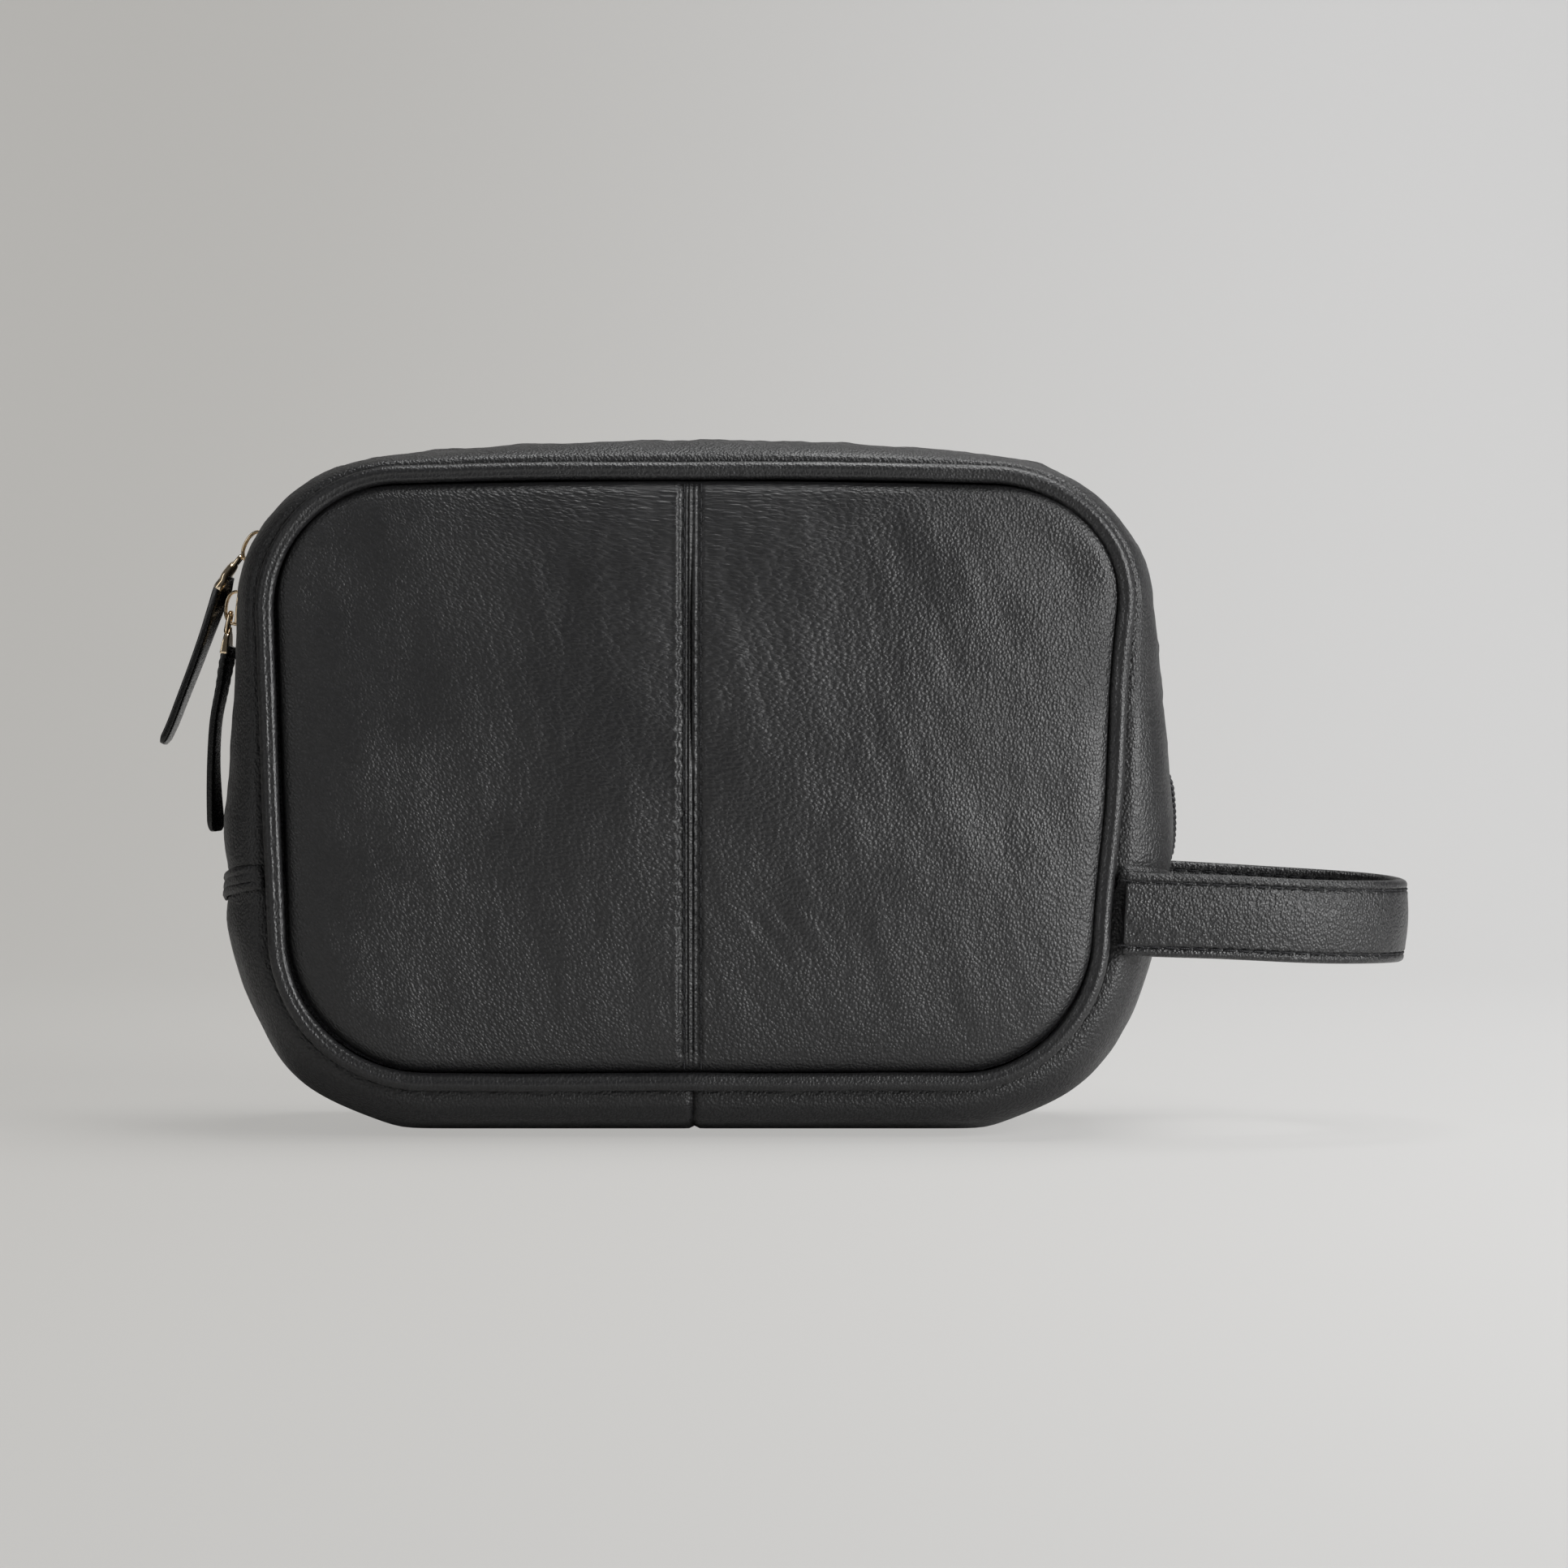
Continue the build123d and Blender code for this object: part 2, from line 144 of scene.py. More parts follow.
def outline_loop(outline, inset, tightest=12.0):
    """The outline as points in X and Z from the bottom's middle round by +X, and its markers."""
    low, high = outline.low + inset, outline.high - inset
    low_x, high_x = side_width(outline, inset, low), side_width(outline, inset, high)
    low_corner = corner_arc((0, low), (low_x, low), (high_x, high),
                            max(outline.corner_low - inset, tightest), low_steps)
    high_corner = corner_arc((low_x, low), (high_x, high), (0, high),
                             max(outline.corner_high - inset, tightest), high_steps)
    bottom = np.linspace((0, low), low_corner[0], bottom_steps, endpoint=False)
    side = np.linspace(low_corner[-1], high_corner[0], side_steps + 1, endpoint=False)[1:]
    top = np.linspace(high_corner[-1], (0, high), top_steps + 1)[1:]
    right = np.vstack([bottom, low_corner, side, high_corner, top])
    left = right[::-1][1:-1] * (-1, 1)
    loop = np.vstack([right, left])
    loop[:, 1] -= crown_drop(outline, loop[:, 0], loop[:, 1])
    return loop


def girth_outline(inset):
    """The girth's loop, drawn in at the sides under the zip's ends, lowered near the top corners
    and lifted off the floor near the bottom ones."""
    loop = outline_loop(girth, inset)
    x, z = loop.T
    slack = 3.3 * smooth(54, 70, z) * (1 - smooth(95, 170, z)) - 1.0 * bell(z, 22, 14)
    tuck = 4.2 * np.exp(-((z - 44) / 27) ** 4) + np.where(x < 0, slack, 0.7)
    tuck = tuck - 1.3 * bell(z, 27, 17) * (x > 0)
    tuck = tuck * smooth(60, 100, np.abs(x))
    drop = (0.9 * bell(x, 84, 18) + 0.7 * bell(x, -80, 16)) * smooth(150, 165, z)
    lift = 1.4 * bell(np.abs(x), 82, 14) * (1 - smooth(5, 25, z))
    return np.stack([x - np.sign(x) * tuck, z - drop + lift], -1)


def seam_shift(x, z):
    """The seam on the right leans out more than the left one towards the top."""
    return smooth(60, 100, x) * (1.8 * smooth(110, 150, z) - 1.8 * (1 - smooth(50, 90, z)))


def wall_points(x, up, ahead):
    """Points on the leaning front wall: across, up the wall and ahead of the seam."""
    y = -depth_low / 2 + up * math.sin(wall_lean) - ahead * math.cos(wall_lean)
    z = up * math.cos(wall_lean) + ahead * math.sin(wall_lean)
    return np.stack([x + seam_shift(x, up) + 0 * y, y, z + 0 * x], axis=-1)


def edge_distance(outline, inset, x, up):
    """Distance in from the outline, on the flat wall."""
    slope = (outline.half_high - outline.half_low) / (outline.high - outline.low)
    up = up + crown_drop(outline, x, up)
    side = (side_width(outline, inset, up) - np.abs(x)) / math.hypot(1, slope)
    top = outline.high - inset - up
    bottom = up - outline.low - inset
    nearest = np.minimum(side, np.minimum(top, bottom))
    for radius, other in ((outline.corner_high - inset, top), (outline.corner_low - inset, bottom)):
        corner = (side < radius) & (other < radius)
        rounded = radius - np.hypot(radius - side, radius - other)
        nearest = np.where(corner, rounded, nearest)
    return nearest


# ---- Blender helpers --------------------------------------------------------------------------
def placed(name, data):
    """A new object in the scene."""
    thing = bpy.data.objects.new(name, data)
    bpy.context.scene.collection.objects.link(thing)
    return thing


def mesh_from(name, points, faces=(), edges=()):
    """A mesh from points in millimetres."""
    mesh = bpy.data.meshes.new(name)
    points = np.asarray(points, float).reshape(-1, 3) * MM
    mesh.from_pydata(points.tolist(), edges, faces)
    return mesh


def grid_faces(rows, columns, wrap=False):
    """Quads of a grid of points; wrap joins the last column to the first."""
    index = np.arange(rows * columns).reshape(rows, columns)
    if wrap:
        index = np.hstack([index, index[:, :1]])
    quads = np.stack([index[:-1, :-1], index[:-1, 1:], index[1:, 1:], index[1:, :-1]], axis=-1)
    return quads.reshape(-1, 4)


def new_piece(name, points, faces, finish, flip=False):
    """A mesh piece from points in millimetres."""
    faces = np.asarray(faces)
    mesh = mesh_from(name, points, (faces[:, ::-1] if flip else faces).tolist())
    mesh.update()
    mesh.shade_smooth()
    mesh.materials.append(finish)
    return placed(name, mesh)


def grid_piece(name, points, finish, flip=False):
    """A mesh piece from a grid of points in millimetres."""
    return new_piece(name, points, grid_faces(*points.shape[:2]), finish, flip)


def bake(piece):
    """Turn the piece's modifiers into its plain mesh."""
    graph = bpy.context.evaluated_depsgraph_get()
    mesh = bpy.data.meshes.new_from_object(piece.evaluated_get(graph))
    piece.modifiers.clear()
    old = piece.data
    piece.data = mesh
    bpy.data.meshes.remove(old)
    mesh.name = piece.name
    return piece


def thicken(piece, thickness):
    wall = piece.modifiers.new("wall", "SOLIDIFY")
    wall.thickness = thickness * MM
    wall.offset = -1
    wall.use_even_offset = False
    return bake(piece)


def closed_sweep(name, rings, finish):
    """A closed piece from a stack of rings of points in millimetres."""
    rows, columns = rings.shape[:2]
    faces = grid_faces(rows, columns, wrap=True).tolist()
    faces += [list(range(columns))[::-1], list(range((rows - 1) * columns, rows * columns))]
    mesh = mesh_from(name, rings, faces)
    work = bmesh.new()
    work.from_mesh(mesh)
    bmesh.ops.recalc_face_normals(work, faces=work.faces)
    work.to_mesh(mesh)
    work.free()
    mesh.shade_smooth()
    mesh.materials.append(finish)
    return placed(name, mesh)


def faced(points, back=True):
    """The front's points, or the same points at the back of the bag."""
    return points * (1, -1, 1) if back else points


def seat(piece, body, slot, *replaced):
    """Ride on a body, or, given the front's two bodies, keep its place baked in; hide the solids that it
    shows. The slot is not used.
    """
    if body == front_soft:
        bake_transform(piece)
    else:
        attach(piece, body)
    if replaced:
        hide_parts(*replaced)


# ---- Shader groups and materials --------------------------------------------------------------
def node_group(name, inputs, outputs):
    group = bpy.data.node_groups.new(name, "ShaderNodeTree")
    for label, kind, value in inputs:
        socket = group.interface.new_socket(label, in_out="INPUT", socket_type=kind)
        if value is not None:
            socket.default_value = value
    for label, kind in outputs:
        group.interface.new_socket(label, in_out="OUTPUT", socket_type=kind)
    start = group.nodes.new("NodeGroupInput")
    end = group.nodes.new("NodeGroupOutput")
    return group, start, end


def add_node(tree, kind, settings=None, **values):
    """A node with its settings and its inputs; a linked input takes a socket."""
    node = tree.nodes.new(kind)
    for key, value in (settings or {}).items():
        setattr(node, key, value)
    for key, value in values.items():
        socket = node.inputs[int(key[1:])] if key[0] == "n" and key[1:].isdigit() else node.inputs[key]
        if isinstance(value, bpy.types.NodeSocket):
            tree.links.new(value, socket)
        else:
            socket.default_value = value
    return node


def maths(tree, operation, first, second=0.0):
    return add_node(tree, "ShaderNodeMath", {"operation": operation}, n0=first, n1=second).outputs[0]


def remap(tree, value, low, high, to_low=0.0, to_high=1.0):
    node = add_node(tree, "ShaderNodeMapRange", {"interpolation_type": "SMOOTHSTEP"}, n0=value,
                    n1=low, n2=high, n3=to_low, n4=to_high)
    return node.outputs[0]


def grain_group():
    """Pebbled leather grain: domed cells, finer ones over them, pores and slow variation."""
    group, start, end = node_group(
        "leather_grain",
        [("Vector", "NodeSocketVector", None), ("Cell Size", "NodeSocketFloat", 0.0011),
         ("Stretch", "NodeSocketFloat", 0.5), ("Depth", "NodeSocketFloat", 1.0),
         ("Lean", "NodeSocketFloat", 0.0)],
        [("Height", "NodeSocketFloat"), ("Cells", "NodeSocketFloat"), ("Patches", "NodeSocketFloat")])
    size = maths(group, "DIVIDE", 1.0, start.outputs["Cell Size"])
    parts = add_node(group, "ShaderNodeSeparateXYZ", {}, Vector=start.outputs["Vector"])
    lean = maths(group, "MULTIPLY", start.outputs["Lean"],
                 remap(group, parts.outputs["X"], -0.07, 0.07, 1.0, -0.1))
    sheared = maths(group, "ADD", parts.outputs["X"], maths(group, "MULTIPLY", lean, parts.outputs["Z"]))
    leaned = add_node(group, "ShaderNodeCombineXYZ", {}, X=sheared, Y=parts.outputs["Y"],
                      Z=parts.outputs["Z"])
    warp = add_node(group, "ShaderNodeTexNoise", {}, Vector=start.outputs["Vector"], Scale=160.0,
                    Detail=2.0)
    shift = add_node(group, "ShaderNodeVectorMath", {"operation": "MULTIPLY_ADD"},
                     n0=warp.outputs["Color"], n1=(0.0008, 0.0008, 0.0008),
                     n2=leaned.outputs[0])
    lengthen = add_node(group, "ShaderNodeCombineXYZ", {}, X=size, Y=size,
                        Z=maths(group, "MULTIPLY", size, start.outputs["Stretch"]))
    place = add_node(group, "ShaderNodeVectorMath", {"operation": "MULTIPLY"},
                     n0=shift.outputs[0], n1=lengthen.outputs[0])
    cells = add_node(group, "ShaderNodeTexVoronoi", {"feature": "F1"},
                     Vector=place.outputs[0], Scale=1.0, Randomness=1.0)
    fine = add_node(group, "ShaderNodeTexVoronoi", {"feature": "F1"},
                    Vector=place.outputs[0], Scale=2.3, Randomness=1.0)
    pores = add_node(group, "ShaderNodeTexNoise", {}, Vector=place.outputs[0], Scale=1.7, Detail=3.0)
    patches = add_node(group, "ShaderNodeTexNoise", {}, Vector=start.outputs["Vector"], Scale=28.0,
                       Detail=2.0)
    broad = remap(group, cells.outputs["Distance"], 0.1, 0.9, 1.0, 0.0)
    small = remap(group, fine.outputs["Distance"], 0.1, 0.9, 1.0, 0.0)
    depth = remap(group, patches.outputs["Fac"], 0.3, 0.7, 0.55, 1.0)
    height = maths(group, "ADD", broad, maths(group, "MULTIPLY", small, 0.25))
    height = maths(group, "ADD", height, maths(group, "MULTIPLY", pores.outputs["Fac"], 0.2))
    height = maths(group, "MULTIPLY", height, depth)
    height = maths(group, "MULTIPLY", height, start.outputs["Depth"])
    group.links.new(height, end.inputs["Height"])
    group.links.new(broad, end.inputs["Cells"])
    group.links.new(patches.outputs["Fac"], end.inputs["Patches"])
    return group


def weave_group():
    """Plain weave: two crossing sets of threads."""
    group, start, end = node_group(
        "weave", [("Vector", "NodeSocketVector", None), ("Thread", "NodeSocketFloat", 0.0006)],
        [("Height", "NodeSocketFloat"), ("Threads", "NodeSocketFloat")])
    parts = add_node(group, "ShaderNodeSeparateXYZ", {}, Vector=start.outputs["Vector"])
    wave = maths(group, "DIVIDE", math.pi, start.outputs["Thread"])
    along = maths(group, "ADD", parts.outputs["X"], parts.outputs["Y"])
    first = maths(group, "SINE", maths(group, "MULTIPLY", along, wave))
    second = maths(group, "SINE", maths(group, "MULTIPLY", parts.outputs["Z"], wave))
    height = maths(group, "MULTIPLY", first, second)
    group.links.new(remap(group, height, -1.0, 1.0), end.inputs["Height"])
    group.links.new(maths(group, "ABSOLUTE", height), end.inputs["Threads"])
    return group


GRAIN = grain_group()
WEAVE = weave_group()


def new_material(name, colour, rough, metallic=0.0, level=0.5):
    material = bpy.data.materials.new(name)
    material.use_nodes = True
    tree = material.node_tree
    shader = tree.nodes["Principled BSDF"]
    shader.inputs["Base Color"].default_value = (*colour, 1)
    shader.inputs["Roughness"].default_value = rough
    shader.inputs["Metallic"].default_value = metallic
    shader.inputs["Specular IOR Level"].default_value = level
    coordinates = tree.nodes.new("ShaderNodeTexCoord")
    return material, tree, shader, coordinates.outputs["Object"]


def colour_mix(tree, factor, first, second):
    node = add_node(tree, "ShaderNodeMix", {"data_type": "RGBA"}, n0=factor)
    for socket in node.inputs:
        if socket.type == "RGBA":
            socket.default_value = (*(first if socket.name == "A" else second), 1)
    return [socket for socket in node.outputs if socket.type == "RGBA"][0]


def bump(tree, shader, height, distance):
    node = add_node(tree, "ShaderNodeBump", {}, Height=height, Distance=distance, Strength=1.0)
    tree.links.new(node.outputs["Normal"], shader.inputs["Normal"])


def leather_material(name, cell, stretch, depth, rough, lean=0.0, dark=(0.0065, 0.0065, 0.007),
                     light=(0.0125, 0.0125, 0.013)):
    material, tree, shader, place = new_material(name, light, rough)
    grain = add_node(tree, "ShaderNodeGroup", {"node_tree": GRAIN}, Vector=place)
    for label, value in (("Cell Size", cell), ("Stretch", stretch), ("Depth", depth), ("Lean", lean)):
        grain.inputs[label].default_value = value
    # Painted shade and highlight: the darker colour fills the creases between the grain's cells, the
    # lighter one their tops.
    painted_shading = colour_mix(tree, grain.outputs["Cells"], dark, light)
    tree.links.new(painted_shading, shader.inputs["Base Color"])
    gloss = remap(tree, grain.outputs["Cells"], 0.0, 1.0, rough + 0.12, rough)
    gloss = maths(tree, "ADD", gloss,
                  remap(tree, grain.outputs["Patches"], 0.35, 0.65, -0.03, 0.05))
    tree.links.new(gloss, shader.inputs["Roughness"])
    bump(tree, shader, grain.outputs["Height"], 0.00022)
    return material


def cloth_material(name, dark, light, thread, rough=0.8):
    material, tree, shader, place = new_material(name, light, rough, level=0.25)
    weave = add_node(tree, "ShaderNodeGroup", {"node_tree": WEAVE}, Vector=place)
    weave.inputs["Thread"].default_value = thread
    tree.links.new(colour_mix(tree, weave.outputs["Threads"], dark, light),
                   shader.inputs["Base Color"])
    bump(tree, shader, weave.outputs["Height"], thread * 0.3)
    return material


def plain_material(name, dark, light, rough, metallic=0.0, scale=900.0, depth=0.00001):
    """A finish with fine speckle in its colour, gloss and surface."""
    material, tree, shader, place = new_material(name, light, rough, metallic)
    speckle = add_node(tree, "ShaderNodeTexNoise", {}, Vector=place, Scale=scale, Detail=4.0)
    value = remap(tree, speckle.outputs["Fac"], 0.3, 0.7)
    tree.links.new(colour_mix(tree, value, dark, light), shader.inputs["Base Color"])
    tree.links.new(remap(tree, speckle.outputs["Fac"], 0.3, 0.7, rough - 0.05, rough + 0.06),
                   shader.inputs["Roughness"])
    bump(tree, shader, speckle.outputs["Fac"], depth)
    return material


panel_leather = leather_material("panel_leather", 0.00072, 0.85, 0.85, 0.36, 0.45)
gusset_leather = leather_material("gusset_leather", 0.00072, 0.85, 0.8, 0.36)
piping_leather = leather_material("piping_leather", 0.0007, 0.85, 0.45, 0.33)
strap_leather = leather_material("strap_leather", 0.0007, 0.85, 0.9, 0.31)
pull_leather = leather_material("pull_leather", 0.0006, 0.8, 0.08, 0.18, 0.0, (0.004, 0.004, 0.004),
                                (0.008, 0.008, 0.008))
lining_cloth = cloth_material("lining_cloth", (0.020, 0.020, 0.022), (0.045, 0.045, 0.05), 0.0007)
tape_cloth = cloth_material("zip_tape_cloth", (0.008, 0.008, 0.009), (0.02, 0.02, 0.022), 0.0005)
thread = cloth_material("waxed_thread", (0.006, 0.006, 0.007), (0.022, 0.022, 0.024), 0.0003, 0.5)
coil_nylon = plain_material("coil_nylon", (0.008, 0.008, 0.009), (0.02, 0.02, 0.022), 0.35)
gold = plain_material("pale_gold", (0.78, 0.60, 0.38), (0.93, 0.78, 0.58), 0.16, 1.0, 700.0, 0.000004)
foam = plain_material("foam_padding", (0.25, 0.25, 0.25), (0.42, 0.42, 0.42), 0.9, 0.0, 500.0, 0.0002)
board = plain_material("stiffener_board", (0.16, 0.12, 0.09), (0.28, 0.22, 0.17), 0.85, 0.0, 300.0, 0.0001)


# ---- Repeats along a path, in Geometry Nodes --------------------------------------------------
def repeat_tree():
    """Instances of an item at a pitch along a path, X along it and Y towards a set side."""
    tree = bpy.data.node_groups.new("repeat_along_path", "GeometryNodeTree")
    tree.interface.new_socket("Path", in_out="INPUT", socket_type="NodeSocketGeometry")
    for label, kind in (("Item", "NodeSocketObject"), ("Pitch", "NodeSocketFloat"),
                        ("Side", "NodeSocketVector"), ("Finish", "NodeSocketMaterial")):
        tree.interface.new_socket(label, in_out="INPUT", socket_type=kind)
    tree.interface.new_socket("Geometry", in_out="OUTPUT", socket_type="NodeSocketGeometry")
    start = tree.nodes.new("NodeGroupInput")
    end = tree.nodes.new("NodeGroupOutput")
    curve = add_node(tree, "GeometryNodeMeshToCurve", {}, n0=start.outputs["Path"])
    spaced = add_node(tree, "GeometryNodeResampleCurve", {"mode": "LENGTH"}, Curve=curve.outputs[0],
                      Length=start.outputs["Pitch"])
    item = add_node(tree, "GeometryNodeObjectInfo", {}, Object=start.outputs["Item"])
    tangent = tree.nodes.new("GeometryNodeInputTangent")
    turn = add_node(tree, "FunctionNodeAxesToRotation", {"primary_axis": "X", "secondary_axis": "Y"},
                    n0=tangent.outputs[0], n1=start.outputs["Side"])
    copies = add_node(tree, "GeometryNodeInstanceOnPoints", {}, Points=spaced.outputs[0],
                      Instance=item.outputs["Geometry"], Rotation=turn.outputs[0])
    real = add_node(tree, "GeometryNodeRealizeInstances", {}, n0=copies.outputs[0])
    finished = add_node(tree, "GeometryNodeSetMaterial", {}, Geometry=real.outputs[0],
                        Material=start.outputs["Finish"])
    tree.links.new(finished.outputs[0], end.inputs[0])
    return tree


REPEAT = repeat_tree()
REPEAT_INPUTS = {item.name: item.identifier for item in REPEAT.interface.items_tree
                 if item.in_out == "INPUT"}


def repeat_along(name, paths, item, pitch, side, finish):
    """One piece made of copies of an item along one or more paths of points in millimetres."""
    points, edges = [], []
    for path in paths:
        first = len(points)
        points.extend(path)
        edges.extend((i, i + 1) for i in range(first, len(points) - 1))
    piece = placed(name, mesh_from(name, points, edges=edges))
    modifier = piece.modifiers.new("repeat", "NODES")
    modifier.node_group = REPEAT
    modifier[REPEAT_INPUTS["Item"]] = item
    modifier[REPEAT_INPUTS["Pitch"]] = pitch * MM
    modifier[REPEAT_INPUTS["Side"]] = side
    modifier[REPEAT_INPUTS["Finish"]] = finish
    bake(piece)
    piece.data.shade_smooth()
    return piece


def capsule(name, length, radius, bow=0.0, flat=1.0, rings=9, sides=7):
    """A rounded bar along X that bows down at its ends; a repeat's item, taken away afterwards."""
    share = np.linspace(-1, 1, rings)
    reach = np.sin(share * math.pi / 2) * length / 2
    swell = radius * np.sqrt(np.clip(1 - np.abs(share) ** 5, 0.04, 1))
    turn = np.linspace(0, 2 * math.pi, sides, endpoint=False)
    x = np.repeat(reach[:, None], sides, 1)
    y = swell[:, None] * np.cos(turn)
    z = swell[:, None] * np.sin(turn) * flat - bow * (x / (length / 2)) ** 2
    points = np.stack([x, y, z], -1)
    faces = grid_faces(rings, sides, wrap=True).tolist()
    faces += [list(range(sides)), list(range((rings - 1) * sides, rings * sides))[::-1]]
    mesh = mesh_from(name, points, faces)
    mesh.update()
    return placed(name, mesh)


stitch = capsule("stitch_item", 3.1, 0.27, bow=0.35)


def stitches(name, paths, side):
    """Stitches along paths, as one piece."""
    return repeat_along(name, paths, stitch, stitch_pitch, side, thread)


# ---- Panels -----------------------------------------------------------------------------------
Face = namedtuple("Face", "back seed dents")
seam_columns = np.concatenate([np.linspace(0, 3.6, 25), np.linspace(3.9, 8, 9)])
side_columns = 62


panel_low, panel_high = seam.low + panel_edge, seam.high - panel_edge
coarse = (2.4, 10)          # pitch and corner steps of what lies hidden behind a panel
coarse_share = np.linspace(-1, 1, 61)


def panel_rows(pitch=0.6, corner_steps=26):
    """Heights up the wall: even on the sides, by angle round the corners."""
    turn = np.linspace(0, math.pi / 2, corner_steps)
    bottom = panel_low + (seam.corner_low - panel_edge) * (1 - np.cos(turn))
    top = panel_high - (seam.corner_high - panel_edge) * (1 - np.cos(turn[::-1]))
    middle = np.arange(bottom[-1] + pitch, top[0] - pitch / 2, pitch)
    return np.concatenate([bottom, middle, top])


def panel_half_width(up):
    """Half width of the panel's outline at a height, with its rounded corners."""
    width = side_width(seam, panel_edge, up)
    for radius, start in ((seam.corner_low - panel_edge, up - panel_low),
                          (seam.corner_high - panel_edge, panel_high - up)):
        inside = np.clip(radius - start, 0, radius)
        width = width - (radius - np.sqrt(np.clip(radius**2 - inside**2, 0, None)))
    return width


def crowned(x, up):
    """The heights repeated over a grid of X, and lowered with the crowned top."""
    up = np.repeat(up[:, None], x.shape[1], 1)
    return up - crown_drop(seam, x, up)


def panel_rise(distance, x, up):
    """How far the padded panel stands ahead of its seam: a rounded rim, a swell behind it and
    a low dome over the whole panel."""
    lip = 3.4
    inside = np.clip(distance / lip, 0, 1)
    rim = lip * np.sqrt(1 - (1 - inside) ** 2)
    swell = 2.6 * (1 - np.exp(-np.clip(distance, 0, None) / 8))
    middle = (seam.high + seam.low) / 2
    across = np.clip(x / seam.half_low, -1, 1)
    over = np.clip((up - middle) / (seam.high - middle), -1, 1)
    return rim + swell + 6.6 * (1 - across**2) * (1 - over**2)


def centre_seam_profile(x, up):
    """Valley between the halves: a scalloped lip on the left, the turned edges, a twisted line of
    stitching and a soft shoulder on the right."""
    beat = np.cos(2 * math.pi * up / stitch_pitch)
    across = x + seam_aside
    lip = -2.75 - 0.30 * beat
    bed = smooth(lip - 0.35, lip + 0.45, across) * (1 - smooth(1.9, 3.9, across))
    edges = 0.42 * bell(across, -0.85, 0.36) + 0.40 * bell(across, 0.0, 0.32)
    twist = (0.40 + 0.12 * beat) * bell(across, 1.35 + 0.14 * beat, 0.34)
    pucker = (0.22 - 0.16 * beat) * bell(across, lip - 0.6, 0.6)
    slit = -0.35 * bell(across, -0.42, 0.16)
    draw = -0.6 * np.exp(-np.abs(across) / 8.0)
    return edges + twist + pucker + slit + draw - 0.85 * bed


def leather_folds(x, up, seed):
    """Soft dents and directional folds of the stretched leather."""
    fine = ripples(x, up, seed, 6.5, 8, 14) * 0.05
    slant = ripples(x, up, seed + 1, 16, 25, 22) * 0.10
    broad = ripples(x, up, seed + 2, 70, 40, 60, 9) * 0.35
    return fine + slant + broad


def front_dents(x, up):
    """The larger hollows and wrinkles of the front."""
    total = -1.5 * bell(x, 93, 13) * bell(up, 143, 7)
    total += -0.9 * bell(x, 84, 16) * bell(up, 84, 12)
    total += -0.7 * bell(x, -84, 20) * bell(up, 138, 16)
    wrinkle = np.cos((0.25 * x + up) * 2 * math.pi / 6.5)
    total += 0.28 * wrinkle * bell(x, -88, 15) * bell(up, 32, 9)
    total += 0.22 * np.cos((0.9 * x + 0.7 * up) * 2 * math.pi / 7) * bell(x, 22, 14) * bell(up, 48, 14)
    return total


def panel_spread(x):
    """The right half is a little wider than the left one."""
    return x + 1.4 * smooth(60, 104, x)


def panel_surface(x, up, face):
    """Rise of the padded leather ahead of the seam, before the centre seam is drawn in."""
    distance = edge_distance(seam, panel_edge, x, up)
    calm = smooth(0, 12, distance)
    folds = np.where(x < 0, leather_folds(x, up, face.seed), leather_folds(x, up, face.seed + 5))
    rise = panel_rise(distance, x, up) + folds * calm
    if face.dents:
        rise = rise + face.dents(x, up) * calm
    return rise, distance


def panel_points(side, face):
    """Points of one half of a panel, from the middle out to the edge; side is -1 or 1."""
    up = panel_rows()
    width = panel_half_width(up)
    share = np.linspace(0, 1, side_columns + 1)[1:] ** 0.94
    near = np.repeat(seam_columns[None, :], len(up), 0)
    far = seam_columns[-1] + (width[:, None] - seam_columns[-1]) * share
    x = np.hstack([near, far]) * side
    up = crowned(x, up)
    rise, distance = panel_surface(x + side * 1e-6, up, face)
    rise = rise + centre_seam_profile(x, up) * smooth(-2, 6, distance)
    return wall_points(panel_spread(x), up, rise)


def add_apron(points, depth=2.2, pull=0.5):
    """Extra rows and columns that turn the panel's rim back into the groove."""
    def turned(edge, inner):
        out = edge - inner
        out = out / np.maximum(np.linalg.norm(out, axis=-1, keepdims=True), 1e-9)
        back = edge.copy()
        back[..., 1] += depth
        return back - out * pull * (0, 1, 0)
    side = turned(points[:, -1], points[:, -2])[:, None]
    points = np.concatenate([points, side], axis=1)
    low = turned(points[0], points[1])[None]
    high = turned(points[-1], points[-2])[None]
    return np.concatenate([low, points, high], axis=0)


def make_panel(name, side, face):
    points = faced(add_apron(panel_points(side, face)), face.back)
    return thicken(grid_piece(name, points, panel_leather, (side > 0) == face.back), leather)


def make_padding(name, face):
    """The foam under one panel: a crowned pad with a flat back."""
    up = panel_rows(*coarse)[1:-1]
    width = panel_half_width(up) - 2.2
    share = np.sin(coarse_share * math.pi / 2)
    x = width[:, None] * share[None]
    up = crowned(x, up)
    rise, _ = panel_surface(x, up, face)
    sunk = -0.9 * np.exp(-np.abs(x) / 8.0) - 2.2 * (1 - smooth(2.2, 4.5, np.abs(x)))
    x = panel_spread(x)
    top = wall_points(x, up, np.maximum(rise + sunk - leather - 0.3, 0.5))
    under = wall_points(x, up, np.full_like(x, 0.2))
    points, faces = closed_slab(faced(top, face.back), faced(under, face.back))
    return new_piece(name, points, faces, foam, not face.back)


